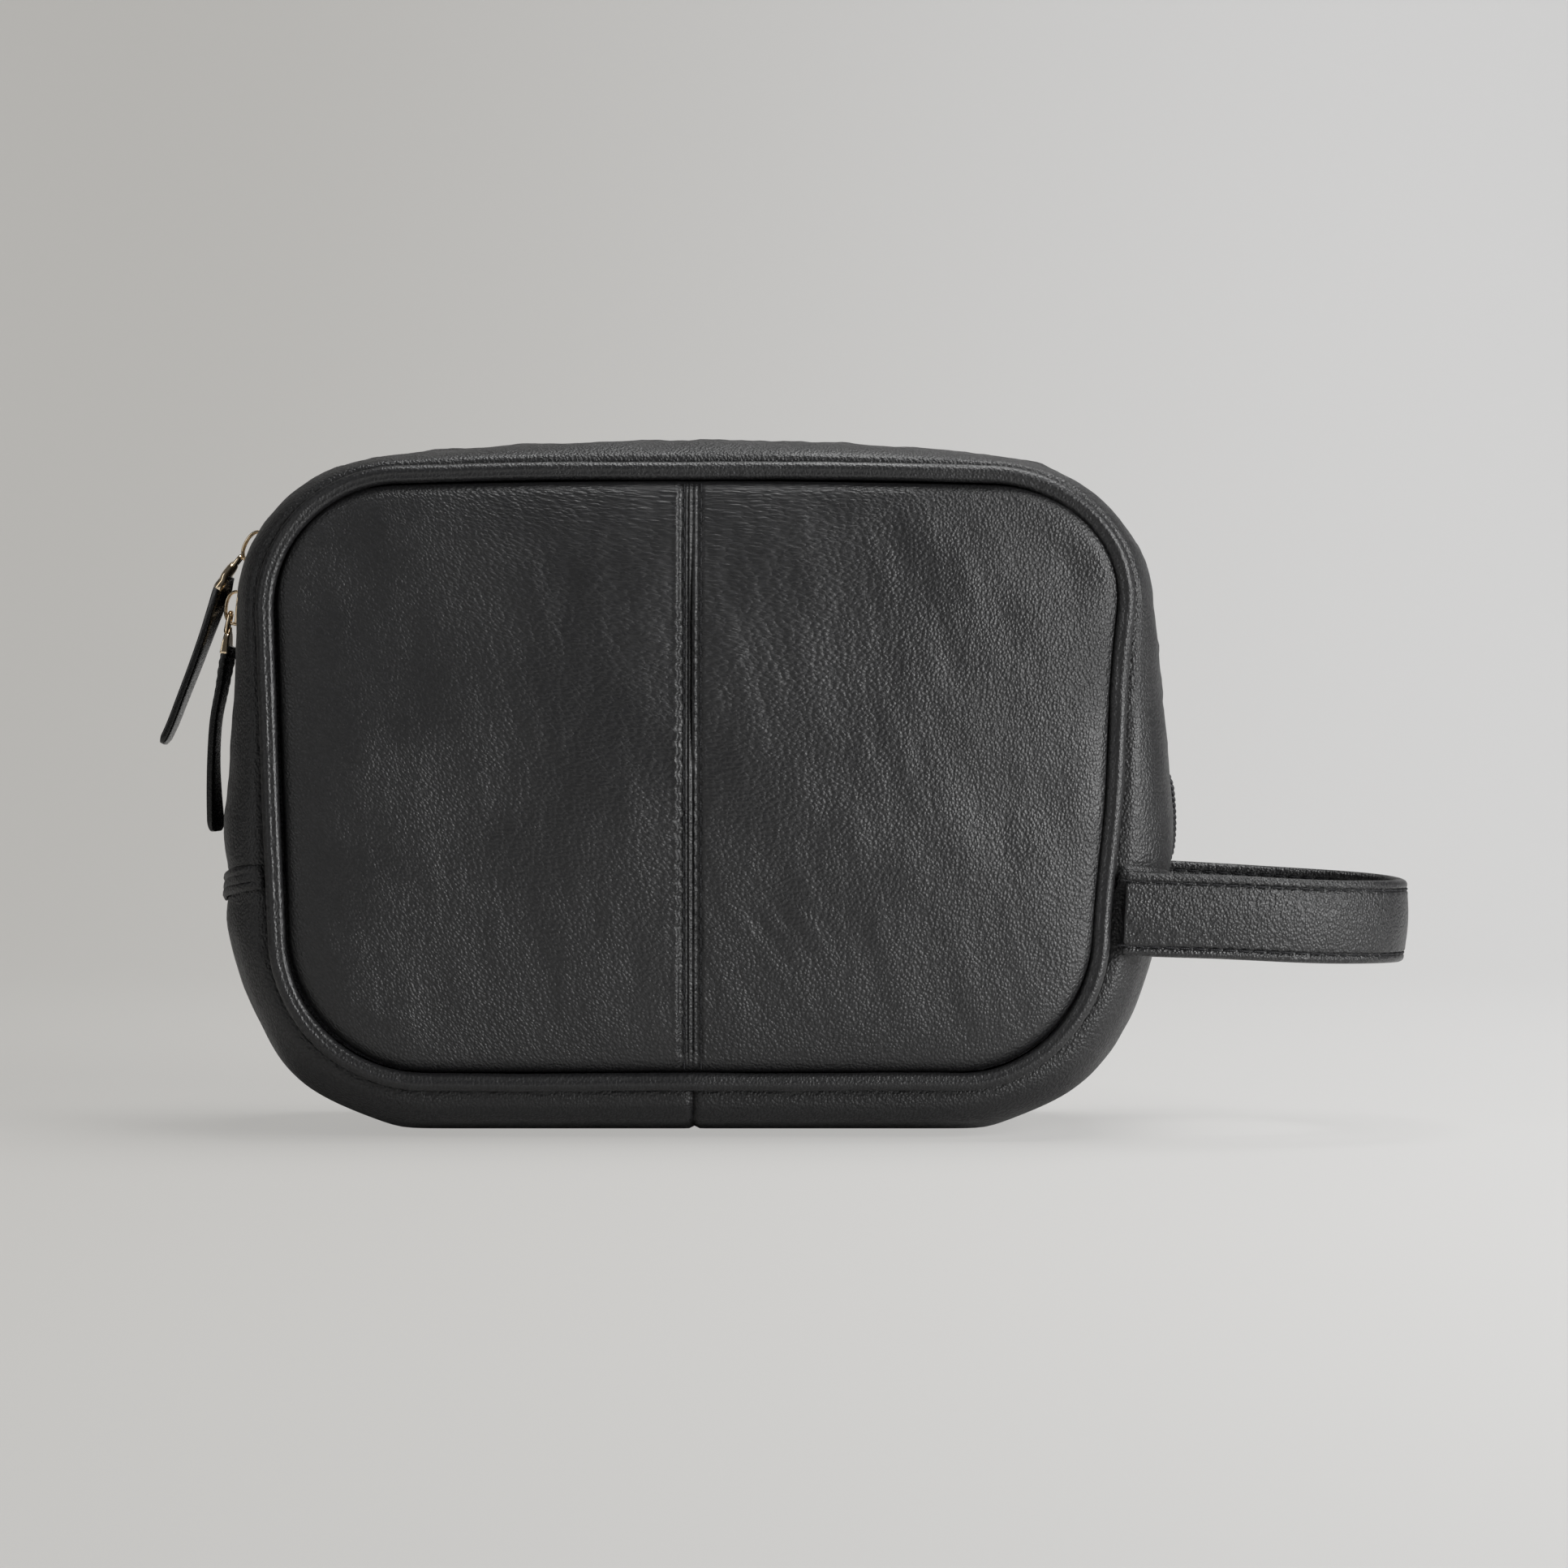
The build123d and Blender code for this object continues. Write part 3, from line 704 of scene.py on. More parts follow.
def closed_slab(top, under):
    """A closed solid from two grids of the same size."""
    rows, columns = top.shape[:2]
    count = rows * columns
    upper = grid_faces(rows, columns)
    lower = upper[:, ::-1] + count
    ring = list(range(columns))
    ring += [r * columns + columns - 1 for r in range(1, rows)]
    ring += [(rows - 1) * columns + c for c in range(columns - 2, -1, -1)]
    ring += [r * columns for r in range(rows - 2, 0, -1)]
    wall = [(b, a, a + count, b + count) for a, b in zip(ring, ring[1:] + ring[:1])]
    points = np.concatenate([top.reshape(-1, 3), under.reshape(-1, 3)])
    return points, np.concatenate([upper, lower, np.array(wall)])


front_face, back_face = Face(False, 11, front_dents), Face(True, 31, None)
for side, hand in ((-1, "left"), (1, "right")):
    front = make_panel("front_panel_leather_" + hand, side, front_face)
    seat(front, front_soft, "black_leather", "front_panel_%s_upper" % hand,
         "front_panel_%s_lower" % hand)
    back = make_panel("back_panel_leather_" + hand, side, back_face)
    seat(back, "bag_body", "black_leather", "back_panel_" + hand)

front_pad = make_padding("front_padding", front_face)
seat(front_pad, front_soft, "padding", "front_interlining_upper", "front_interlining_lower")
back_pad = make_padding("back_padding", back_face)
seat(back_pad, "bag_body", "padding", "back_interlining")


def stitch_rows(face):
    """Two rows of stitches beside the centre seam, lying in their dents."""
    rows = []
    up = np.arange(panel_low + 2.0, panel_high - 2.0, 0.5)
    for x in (-stitch_offset, stitch_offset):
        line = np.full_like(up, x)
        rise, distance = panel_surface(line, up, face)
        sunk = centre_seam_profile(line, up * 0 + stitch_pitch / 4)
        points = wall_points(line, up, rise + (sunk + 0.12) * smooth(-2, 6, distance))
        rows.append(faced(points, face.back))
    return rows


seat(stitches("front_seam_stitches", stitch_rows(front_face), (-1, 0, 0)), front_soft,
     "black_leather")
seat(stitches("back_seam_stitches", stitch_rows(back_face), (1, 0, 0)), "bag_body", "black_leather")


# ---- Piping -----------------------------------------------------------------------------------
def piping_section():
    """The corded tube with a shallow crease along it, as rings of across and ahead."""
    turn = np.linspace(0, 2 * math.pi, 28, endpoint=False)
    offset = np.mod(turn - 1.75 + math.pi, 2 * math.pi) - math.pi
    radius = piping_radius * (1 - 0.20 * bell(offset, 0.0, 0.20))
    return radius * np.cos(turn) * 1.2, radius * np.sin(turn) * 1.08


def loop_normals(loop):
    """Outward directions in the plane of a closed loop of points."""
    step = np.roll(loop, -1, 0) - np.roll(loop, 1, 0)
    normal = np.stack([step[:, 1], -step[:, 0]], -1)
    return normal / np.linalg.norm(normal, axis=1, keepdims=True)


def set_out(line, normal, shift):
    """Both coordinates of a line's points, each moved out by a row of shifts."""
    return [line[:, axis, None] + normal[:, axis, None] * shift for axis in (0, 1)]


def finer(loop, times):
    """A closed loop with more points, evenly between the old ones."""
    share = np.arange(times)[None, :, None] / times
    between = loop[:, None] * (1 - share) + np.roll(loop, -1, 0)[:, None] * share
    return between.reshape(-1, 2)


def make_piping(name, back):
    loop = finer(outline_loop(seam, piping_inset), 2)
    normal = loop_normals(loop)
    across, ahead = piping_section()
    along = np.concatenate([[0], np.cumsum(np.linalg.norm(np.diff(loop, axis=0), axis=1))])
    wobble = ripples(loop[:, 0], loop[:, 1], 5, 60, 0, 90, 8) * 0.12
    around = np.linspace(0, 12, len(across))[None]
    crease = ripples(along[:, None] + 0 * around, around, 7, 3.4, 20, 14, 10)
    slow = ripples(along, along * 0, 9, 21, 0, 3, 6)[:, None]
    swell = 1 - 0.035 * np.exp(-(crease / 0.3) ** 2) + 0.012 * slow
    x, up = set_out(loop, normal, across * swell + wobble[:, None])
    points = wall_points(x, up, piping_ahead + ahead * swell)
    rows, columns = points.shape[:2]
    faces = grid_faces(rows + 1, columns, wrap=True) % (rows * columns)
    return new_piece(name, faced(points, back), faces, piping_leather, flip=not back)


seat(make_piping("front_piping_leather", False), front_soft, "black_leather", "front_piping_upper",
     "front_piping_lower", "front_piping_cord_upper", "front_piping_cord_lower")
seat(make_piping("back_piping_leather", True), "bag_body", "black_leather", "back_piping",
     "back_piping_cord")


# ---- Gusset -----------------------------------------------------------------------------------
seam_loop, flange_loop = outline_loop(seam, seam_inset), outline_loop(seam, flange_inset)
for loop in (seam_loop, flange_loop):
    loop[:, 0] += seam_shift(*loop.T)
girth_loop = girth_outline(0.0)
girth_normal = loop_normals(girth_loop)
loop_count = len(seam_loop)
half_count = loop_count // 2
right_side = list(range(half_count + 1))
left_side = [(loop_count - i) % loop_count for i in right_side]


def side_places(side, low, high):
    """Places along the loops on one side between two heights, from the bottom up."""
    places = np.arange(half_count + 1)
    heights = girth_loop[right_side if side > 0 else left_side, 1]
    places = places[(heights >= low) & (heights <= high)].astype(float)
    return places if side > 0 else loop_count - places


def loops_at(place):
    """Seam, girth, outward direction and sewn-in edge at places along the loops."""
    index = np.arange(loop_count + 1)
    return [np.stack([np.interp(place, index, np.append(loop[:, axis], loop[0, axis]))
                      for axis in (0, 1)], -1)
            for loop in (seam_loop, girth_loop, girth_normal, flange_loop)]


def bulge(behind):
    """Share of the way from the seam's outline to the girth's, by the depth behind the seam."""
    return 0.12 * smooth(0, 1.5, behind) + 0.88 * (1 - np.exp(-np.clip(behind, 0, None) / 6.6))


def seam_depth(up):
    return -depth_low / 2 + up * math.sin(wall_lean)


def gusset_at(seam_xy, girth_xz, y, out=0.0, normal=0.0):
    """Points of the gusset's outer face, or a distance out from it; the bottom rests on the floor
    along its middle and curls up towards the seams."""
    reach = np.abs(seam_depth(seam_xy[..., 1]))
    share = bulge(reach - np.abs(y)) / bulge(reach)
    x = seam_xy[..., 0] + (girth_xz[..., 0] - seam_xy[..., 0]) * share
    z = seam_xy[..., 1] + (girth_xz[..., 1] - seam_xy[..., 1]) * share
    ground = floor_curl * y**2
    z = 0.5 * (z + ground + np.sqrt((z - ground) ** 2 + 0.5)) - 0.1
    if np.any(out):
        x = x + normal[..., 0] * out
        z = z + normal[..., 1] * out
    return np.stack([x, y + 0 * x, z], -1)


def tab_slant(y):
    """How far a tab climbs from the middle of the gusset towards its seams."""
    return 3.6 * np.clip(np.abs(y) / 36, 0, 1.1) ** 2.4


def place_at(side, y, height):
    """The place along the loops where the gusset's face passes through a height at a depth."""
    start = np.arange(half_count + 1, dtype=float)
    table = start if side > 0 else loop_count - start
    heights = loops_at(table)[1][:, 1]
    level = height + 0 * y
    for _ in range(8):
        place = np.interp(level, heights, start)
        place = place if side > 0 else loop_count - place
        seam_xy, girth_xz = loops_at(place)[:2]
        level = level + 0.8 * (height - gusset_at(seam_xy, girth_xz, y)[..., 2])
    return place


across_shares = np.concatenate([[0, 0.012, 0.027, 0.045, 0.07, 0.10, 0.135, 0.17, 0.21, 0.26],
                                np.linspace(0.32, 0.94, 18), [0.965, 0.985, 1.0]])


def gusset_grid(places, shares, out):
    """A grid over the gusset: rows follow the loop, columns run from the seam (0) over the middle
    (1) to the other seam (2); out may be a number or a function of along, y, x and z."""
    places = np.asarray(places, float)
    if places.ndim == 1:
        places = np.repeat(places[:, None], len(shares), 1)
    seam_xy, girth_xz, normal, flange_xy = loops_at(places)
    edge = seam_depth(seam_xy[..., 1])
    y = edge * (1 - np.asarray(shares)[None])
    behind = np.abs(edge) - np.abs(y)
    tucked = np.sign(y) * 1.4 * np.exp(-(behind / 0.6) ** 2)
    sewn_in = np.exp(-(behind / 0.2) ** 2)[..., None]
    seam_xy = seam_xy + (flange_xy - seam_xy) * sewn_in
    points = gusset_at(seam_xy, girth_xz, y)
    if callable(out):
        along = np.repeat(np.arange(len(places))[:, None] * 1.5, len(shares), 1)
        out = out(along, y, points[..., 0], points[..., 2])
    points = gusset_at(seam_xy, girth_xz, y, out, normal)
    points[..., 1] -= tucked
    return points, normal


def end_places(side, shares, height):
    """Where each column of the gusset meets the slanted line of a tab."""
    shares = np.asarray(shares)
    y = seam_depth(height) * (1 - shares)
    return place_at(side, y, height + tab_slant(y))


def zip_show(x, z):
    """Where the zip stands out between the leather edges: low on the right, here and there on top."""
    side = (x > 60) * smooth(60, 72, z) * (1 - smooth(86, 99, z))
    top = (z > 160) * (smooth(-60, -50, x) * (1 - smooth(-20, -10, x))
                       + smooth(36, 44, x) * (1 - smooth(60, 68, x)))
    return side, top


def make_zip_gusset(name, back):
    reach = 1 - zip_slot / gusset_half
    shares = across_shares * reach
    top = loop_count / 2
    ends = [end_places(side, shares, tab_low + 1.5) - top for side in (-1, 1)]
    steps = [side_places(side, tab_low + 1, above_all) - top for side in (-1, 1)]
    left, right = [top + step[:, None] / step[0] * end[None] for step, end in zip(steps, ends)]
    places = np.vstack([left, right[::-1][1:]])
    seed = 51 + back

    def out(along, y, x, z):
        behind = np.abs(seam_depth(z)) - np.abs(y)
        folds = ripples(along, y, seed, 26, 10, 25, 10) * 0.16
        folds = (folds + ripples(along, y, seed + 1, 9, 5, 30, 12) * 0.05) * smooth(1, 8, behind)
        pucker = np.cos(2 * math.pi * along / 5.2) * 0.12
        pucker = pucker + ripples(along, along * 0, 77, 17, 0, 4, 8) * 0.2
        side, top = zip_show(x, z)
        edge = smooth(0.86, 1.0, across_shares)[None]
        rim = 0.35 * bell(across_shares, 0.93, 0.04)[None]
        sunk = -1.1 * (1 - smooth(-1.5, 1.5, z - tab_low - 5 - tab_slant(y)))
        return folds + (pucker - 0.9 * side - 0.5 * top) * edge + rim + sunk
    points, normal = gusset_grid(places, shares, out)
    columns = [points]
    last = points[:, -1]
    for inward, down in ((0.45, 0.35), (0.75, 0.95), (0.6, 1.9), (-1.0, 2.3), (-4.0, 2.4)):
        turned = last.copy()
        turned[:, 1] += inward
        turned[:, 0] -= normal[:, -1, 0] * down
        turned[:, 2] -= normal[:, -1, 1] * down
        columns.append(turned[:, None])
    points = faced(np.concatenate(columns, axis=1), back)
    return thicken(grid_piece(name, points, gusset_leather, back), zip_gusset_wall)


seat(make_zip_gusset("front_zip_gusset_leather", False), front_soft, "black_leather",
     "front_zip_gusset")
seat(make_zip_gusset("back_zip_gusset_leather", True), "bag_body", "black_leather",
     "back_zip_gusset")

full_shares = np.concatenate([across_shares, 2 - across_shares[::-1][1:]])


def make_base_gusset(name, side):
    """Half of the base gusset, from under the tab down to the seam below the middle."""
    places = side_places(side, below_all, tab_low + 4)
    start = 0 if side > 0 else loop_count
    ends = end_places(side, full_shares, tab_low + 3.5) - start
    places = start + (places - start)[:, None] / (places[-1] - start) * ends[None]

    def out(along, y, x, z):
        behind = np.abs(seam_depth(z)) - np.abs(y)
        folds = ripples(along, y, 61 + side, 24, 10, 25, 10) * 0.2
        folds = folds + ripples(along, y, 65 + side, 8, 5, 30, 12) * 0.05
        crease = -0.35 * bell(np.abs(y), 30, 1.3) * bell(z, 42, 14) * (np.abs(x) > 80)
        return folds * smooth(1, 8, behind) * smooth(4, 30, z) + crease
    points, _ = gusset_grid(places, full_shares, out)
    seam_dip = bell(np.abs(points[..., 0]), 0, 0.8)
    points[..., 2] += 0.7 * seam_dip
    points[..., 1] *= 1 - 0.012 * seam_dip
    return thicken(grid_piece(name, points, gusset_leather, side < 0), base_gusset_wall)


for side, hand in ((-1, "left"), (1, "right")):
    seat(make_base_gusset("base_gusset_leather_" + hand, side), "bag_body", "black_leather",
         "base_gusset_" + hand)


def make_lining(name, points, body, *replaced):
    """A sewn-in sheet of lining cloth."""
    piece = thicken(grid_piece(name, points, lining_cloth), cloth_wall)
    seat(piece, body, "lining_cloth", *replaced)


def lining_wall():
    up = panel_rows(*coarse)
    x = (panel_half_width(up) + 1.5)[:, None] * coarse_share[None]
    up = crowned(x, up)
    return wall_points(x, up, ripples(x, up, 83, 45, 20, 40, 8) * 0.15 - 0.5)


make_lining("front_lining_sheet", lining_wall(), front_soft, "front_lining_upper", "front_lining_lower")
make_lining("back_lining_sheet", faced(lining_wall()), "bag_body", "back_lining")
top_rows = np.append(side_places(-1, tab_low + 1, above_all)[::2],
                     side_places(1, tab_low + 1, above_all)[::-2])
top_lining, _ = gusset_grid(top_rows, np.linspace(0.06, 0.80, 16), -zip_lining_depth)
make_lining("front_gusset_lining_sheet", top_lining, front_soft, "front_gusset_lining")
make_lining("back_gusset_lining_sheet", faced(top_lining), "bag_body", "back_gusset_lining")
base_rows = np.append(side_places(-1, below_all, tab_low + 2)[::-2] - loop_count,
                      side_places(1, below_all, tab_low + 2)[1::2])
base_lining, _ = gusset_grid(base_rows % loop_count, np.linspace(0.06, 1.94, 41), -base_lining_depth)
make_lining("base_lining_sheet", base_lining, "bag_body", "base_lining")


# ---- Tabs over the zip's ends -----------------------------------------------------------------
def make_tab(name, side):
    """A folded band of leather across the gusset: rolled top edge, sewn lower down."""
    rise = np.array([-0.4, 0.0, 0.3, 0.7, 1.1, 1.4, 1.7, 2.0, 2.4,
                     2.9, 3.4, 3.8, 4.2, 4.6, 4.9, 5.1, 5.1, 4.8])
    proud = np.array([0.0, 0.3, 0.5, 0.52, 0.4, 0.2, 0.36, 0.56, 0.62,
                      0.6, 0.5, 0.45, 0.65, 0.85, 0.85, 0.5, 0.0, -0.7])
    y = np.linspace(1, -1, 150)[None] * (np.abs(seam_depth(tab_low + 3 + rise[:, None])) - 0.2)
    height = tab_low - 0.6 + rise[:, None] + tab_slant(y) + 0.25 * np.sin(y / 5.5)
    seam_xy, girth_xz, normal, _ = loops_at(place_at(side, y, height))
    beat = 1 + 0.3 * np.cos(2 * math.pi * y / stitch_pitch) * bell(rise, 1.4, 0.5)[:, None]
    swell = 1 + 0.12 * ripples(y, y * 0, 88 + side, 12, 0, 5, 6)
    points = gusset_at(seam_xy, girth_xz, y, proud[:, None] * beat * swell, normal)
    return thicken(grid_piece(name, points, gusset_leather, side < 0), tab_wall)


def tab_stitches(side):
    y = np.linspace(-gusset_half, gusset_half, 140)
    height = tab_low + 0.8 + tab_slant(y) + 0.25 * np.sin(y / 5.5)
    seam_xy, girth_xz, normal, _ = loops_at(place_at(side, y, height))
    return gusset_at(seam_xy, girth_xz, y, np.full_like(y, 0.42), normal)


for side, hand in ((-1, "left"), (1, "right")):
    seat(make_tab("zip_tab_leather_" + hand, side), "bag_body", "black_leather",
         "zip_end_tab_" + hand)
    seat(stitches("zip_tab_stitches_" + hand, [tab_stitches(side)], (0, 0, side)),
         "bag_body", "black_leather")


# ---- Zip tapes and coils ----------------------------------------------------------------------
def zip_path(inset, low, show):
    """The zip's line round the top, from the left end to the right, above a height."""
    left = [i for i in left_side if girth_loop[i, 1] >= low]
    right = [i for i in right_side if girth_loop[i, 1] >= low][::-1]
    index = left + right[1:]
    path = girth_loop[index]
    side, top = zip_show(path[:, 0], path[:, 1])
    out = -inset + show * side + 0.42 * show * top
    return path + girth_normal[index] * out[:, None]


def make_tape(name, back, low):
    path = zip_path(2.3, low, 2.6)
    columns = 12
    across = np.linspace(0.35, 12, columns)
    points = np.stack([np.repeat(path[:, :1], columns, 1), -np.repeat(across[None], len(path), 0),
                       np.repeat(path[:, 1:], columns, 1)], -1)
    return thicken(grid_piece(name, faced(points, back), tape_cloth, not back), cloth_wall)


tooth = capsule("coil_tooth_item", 3.5, 0.56, bow=0.35, flat=1.15, rings=8, sides=7)
tooth.data.transform(Matrix.Rotation(math.radians(62), 4, "Z"))


def make_coil(name, back):
    path = zip_path(1.15, tab_low + 3, 2.9)
    y = coil_aside if back else -coil_aside
    line = np.stack([path[:, 0], np.full(len(path), y), path[:, 1]], -1)
    if back:
        step = line[1] - line[0]
        line = np.vstack([line[0] + step * 0.5, line[1:]])
    return repeat_along(name, [line], tooth, coil_pitch, (0, 1, 0), coil_nylon)


seat(make_tape("front_tape_cloth", False, fold_height - 4), front_soft, "zip_tape", "front_zip_tape")
seat(make_tape("back_tape_cloth", True, tab_low + 2), "bag_body", "zip_tape", "back_zip_tape")
seat(make_coil("front_coil_teeth", False), front_soft, "zip_coil", "front_zip_coil")
seat(make_coil("back_coil_teeth", True), "bag_body", "zip_coil", "back_zip_coil")


# ---- Wrist loop -------------------------------------------------------------------------------
pivot_x, _, pivot_z = (value / MM for value in joints["handle_swing"]["pos_m"])
loop_width = 21.0
loop_half = 1.85
loop_reach = 63.0
loop_root_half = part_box("handle_outer_strap")[1][1] / MM - loop_half - 0.1
loop_squareness = 2.5
loop_droop = math.radians(2.9)
loop_stitch_height = 8.1
loop_stitch_out = 1.22
loop_step = 0.5


def crackle(a, b, seed, width, height):
    """Distance from the creases between random cells of a width and height, in cell widths."""
    random = np.random.default_rng(seed)
    a, b = a / width, b / height
    columns, rows = int(np.ptp(a)) + 5, int(np.ptp(b)) + 5
    jitter = random.uniform(0.05, 0.95, (columns, rows, 2))
    a, b = a - a.min() + 1.5, b - b.min() + 1.5
    near = np.full((9,) + a.shape, 9.0)
    for i in range(9):
        column, row = a.astype(int) + i // 3 - 1, b.astype(int) + i % 3 - 1
        place = jitter[column, row]
        near[i] = np.hypot(column + place[..., 0] - a, row + place[..., 1] - b)
    near.sort(axis=0)
    return near[1] - near[0]


def loop_path():
    """Plan of the strap's middle line, from the front root round the end to the back root."""
    turn = np.linspace(0, math.pi, 241)
    root = 0.4 - loop_width / 2
    across = loop_root_half * np.sign(np.cos(turn)) * np.abs(np.cos(turn)) ** (2 / loop_squareness)
    rough = np.stack([root + (loop_reach - root) * np.sin(turn) ** (2 / loop_squareness), -across], -1)
    length = np.concatenate([[0], np.cumsum(np.linalg.norm(np.diff(rough, axis=0), axis=1))])
    even = np.linspace(0, length[-1], int(length[-1] / loop_step))
    return np.stack([np.interp(even, length, rough[:, axis]) for axis in (0, 1)], -1)


def strap_section():
    """One face of the strap: quilted between its stitch rows, with rolled edges."""
    edge = np.array([10.5, 10.42, 10.2, 9.85, 9.4, 8.9, 8.55, 8.3, 8.1, 7.9, 7.6, 7.2])
    height = np.concatenate([-edge, np.linspace(-6.7, 6.7, 28), edge[::-1]])
    swell = 1.5 + 0.65 * (1 - (np.clip(np.abs(height), 0, 8) / 8) ** 2)
    swell -= 0.5 * bell(np.abs(height), loop_stitch_height, 0.4)
    rim = np.clip((loop_width / 2 - np.abs(height)) / 1.3, 0, 1)
    return height, np.maximum(swell * np.sqrt(1 - (1 - rim) ** 2), 0.02)


def droop(x, y, z):
    """From the strap's own frame about its pivot to the bag's."""
    return np.stack([x * math.cos(loop_droop) + z * math.sin(loop_droop) + pivot_x, y,
                     z * math.cos(loop_droop) - x * math.sin(loop_droop) + pivot_z], -1)


handle_path = loop_path()
handle_way = np.gradient(handle_path, axis=0)
handle_way /= np.linalg.norm(handle_way, axis=1, keepdims=True)
handle_out = np.stack([handle_way[:, 1], -handle_way[:, 0]], -1)


def make_handle():
    height, swell = strap_section()
    ring_height = np.concatenate([height, height[::-1][1:-1]])
    ring_out = np.concatenate([swell, -swell[::-1][1:-1]])
    run = np.arange(len(handle_path)) * loop_step
    along = np.repeat(run[:, None], len(ring_height), 1)
    across = np.repeat(ring_height[None], len(handle_path), 0)
    face = np.sign(ring_out)[None]
    worn = 0.3 + 0.7 * (1 - smooth(24, 52, along)) + 0.6 * smooth(run[-1] - 70, run[-1] - 30, along)
    bent = along + 0.7 * np.sin(across * 0.9 + face) + ripples(along, across, 94, 9, 30, 60, 8) * 0.5
    deep = crackle(bent, across + 3 * face, 91, 2.3, 8.5)
    fine = crackle(bent, across + 5 * face, 92, 1.2, 3.4)
    inside = 1 - smooth(7.0, 8.1, np.abs(across))
    dent = -(0.14 * np.exp(-(deep / 0.16) ** 2) + 0.09 * np.exp(-(fine / 0.22) ** 2)) * inside * worn
    beat = np.cos(2 * math.pi * along / stitch_pitch)
    dent -= 0.20 * smooth(0.3, 0.9, beat) * bell(np.abs(across), loop_stitch_height, 0.7)
    dent += 0.12 * smooth(0.2, 1.0, -beat) * bell(np.abs(across), loop_stitch_height - 0.9, 0.6)
    push = ring_out[None] + face * dent
    wave = ripples(along, across, 93, 40, 0, 12, 6) * 0.2
    x, y = set_out(handle_path, handle_out, push + wave)
    z = across + ripples(along, across * 0, 95, 50, 0, 5, 5) * 0.15
    return closed_sweep("handle_strap", droop(x, y, z), strap_leather)


seat(make_handle(), "handle", "black_leather", "handle_outer_strap", "handle_core",
     "handle_inner_strap")


def handle_stitch_rows(face):
    rows = []
    for height in (-loop_stitch_height, loop_stitch_height):
        x = handle_path[:, 0] + handle_out[:, 0] * face * loop_stitch_out
        y = handle_path[:, 1] + handle_out[:, 1] * face * loop_stitch_out
        rows.append(droop(x, y, np.full_like(x, height)))
    return rows


for face, hand in ((1, "outer"), (-1, "inner")):
    seat(stitches("handle_stitches_" + hand, handle_stitch_rows(face), (0, 0, face)),
         "handle", "black_leather")


# ---- Zip sliders and pulls --------------------------------------------------------------------
def rounded_ring(half_width, half_thickness, corner, steps=32):
    """A rounded rectangle's points, width first."""
    turn = np.linspace(0, 2 * math.pi, steps, endpoint=False) + math.pi / steps
    wide = np.sign(np.cos(turn)) * np.abs(np.cos(turn)) ** corner
    thick = np.sign(np.sin(turn)) * np.abs(np.sin(turn)) ** corner
    return half_width * wide, half_thickness * thick


def swept_bar(name, stations, finish, steps=32):
    """A closed bar through stations of x, z, half width, half thickness, twist and squareness;
    its width lies in Y, and the twist turns its inner face towards the front."""
    centres = np.array([(s[0], s[1]) for s in stations], float)
    way = np.gradient(centres, axis=0)
    way /= np.linalg.norm(way, axis=1, keepdims=True)
    rings = []
    for (x, z, half_width, half_thickness, twist, corner), (dx, dz) in zip(stations, way):
        wide, thick = rounded_ring(half_width, half_thickness, corner, steps)
        turn = math.radians(twist)
        out = np.array([dz, 0, -dx])
        width_way = np.array([0, math.cos(turn), 0]) - math.sin(turn) * out
        thick_way = math.cos(turn) * out + np.array([0, math.sin(turn), 0])
        rings.append(np.array([x, 0, z]) + wide[:, None] * width_way + thick[:, None] * thick_way)
    return closed_sweep(name, np.stack(rings), finish)


def along_curve(knots, share):
    """Smooth values through knots, each a row of numbers, at shares from 0 to 1."""
    knots = np.array(knots, float)
    place = share * (len(knots) - 1)
    i = min(int(place), len(knots) - 2)
    t = place - i
    before = knots[max(i - 1, 0)]
    after = knots[min(i + 2, len(knots) - 1)]
    a, b = knots[i], knots[i + 1]
    slope_a, slope_b = (b - before) / 2, (after - a) / 2
    return ((2 * t**3 - 3 * t**2 + 1) * a + (t**3 - 2 * t**2 + t) * slope_a
            + (3 * t**2 - 2 * t**3) * b + (t**3 - t**2) * slope_b)


def joined(name, parts):
    """One mesh piece from several."""
    work = bmesh.new()
    for part in parts:
        work.from_mesh(part.data)
    piece = parts[0]
    piece.name = name
    work.to_mesh(piece.data)
    work.free()
    for part in parts[1:]:
        bpy.data.objects.remove(part)
    return piece


def make_slider(name, centre, way):
    """A slider: a bridge that arches over an outer and an inner plate, joined at the nose;
    way is the zip's direction there, down the bag, as x and z."""
    way = np.array(way) / np.linalg.norm(way)
    out = np.array([way[1], -way[0]])

    def place(u, v):
        return centre + u * way + v * out

    arch_half, arch_rise, band = 4.15, 2.75, 0.45
    stations = []
    for turn in np.linspace(math.pi + 0.25, -0.25, 40):
        u = arch_half * np.sign(math.cos(turn)) * abs(math.cos(turn)) ** 0.85
        v = arch_rise * np.sign(math.sin(turn)) * abs(math.sin(turn)) ** 0.85
        stations.append((*place(u, v), 1.9, band, 0, 0.6))
    bridge = swept_bar(name + "_bridge", stations, gold, 20)
    plates = []
    for level in (-0.4, -3.0):
        rows = []
        for u in np.linspace(-4.6, 4.6, 17):
            wide = 3.9 - 1.3 * smooth(-1, 4.6, u) - 1.2 * (abs(u) / 4.6) ** 6
            rows.append((*place(u, level), wide, 0.45, 0, 0.4))
        plates.append(swept_bar(name + "_plate", rows, gold, 24))
    post = [(*place(-3.4, v), 0.9, 1.0, 0, 0.7) for v in np.linspace(-3.0, -0.4, 5)]
    return joined(name, [bridge, *plates, swept_bar(name + "_post", post, gold, 16)])


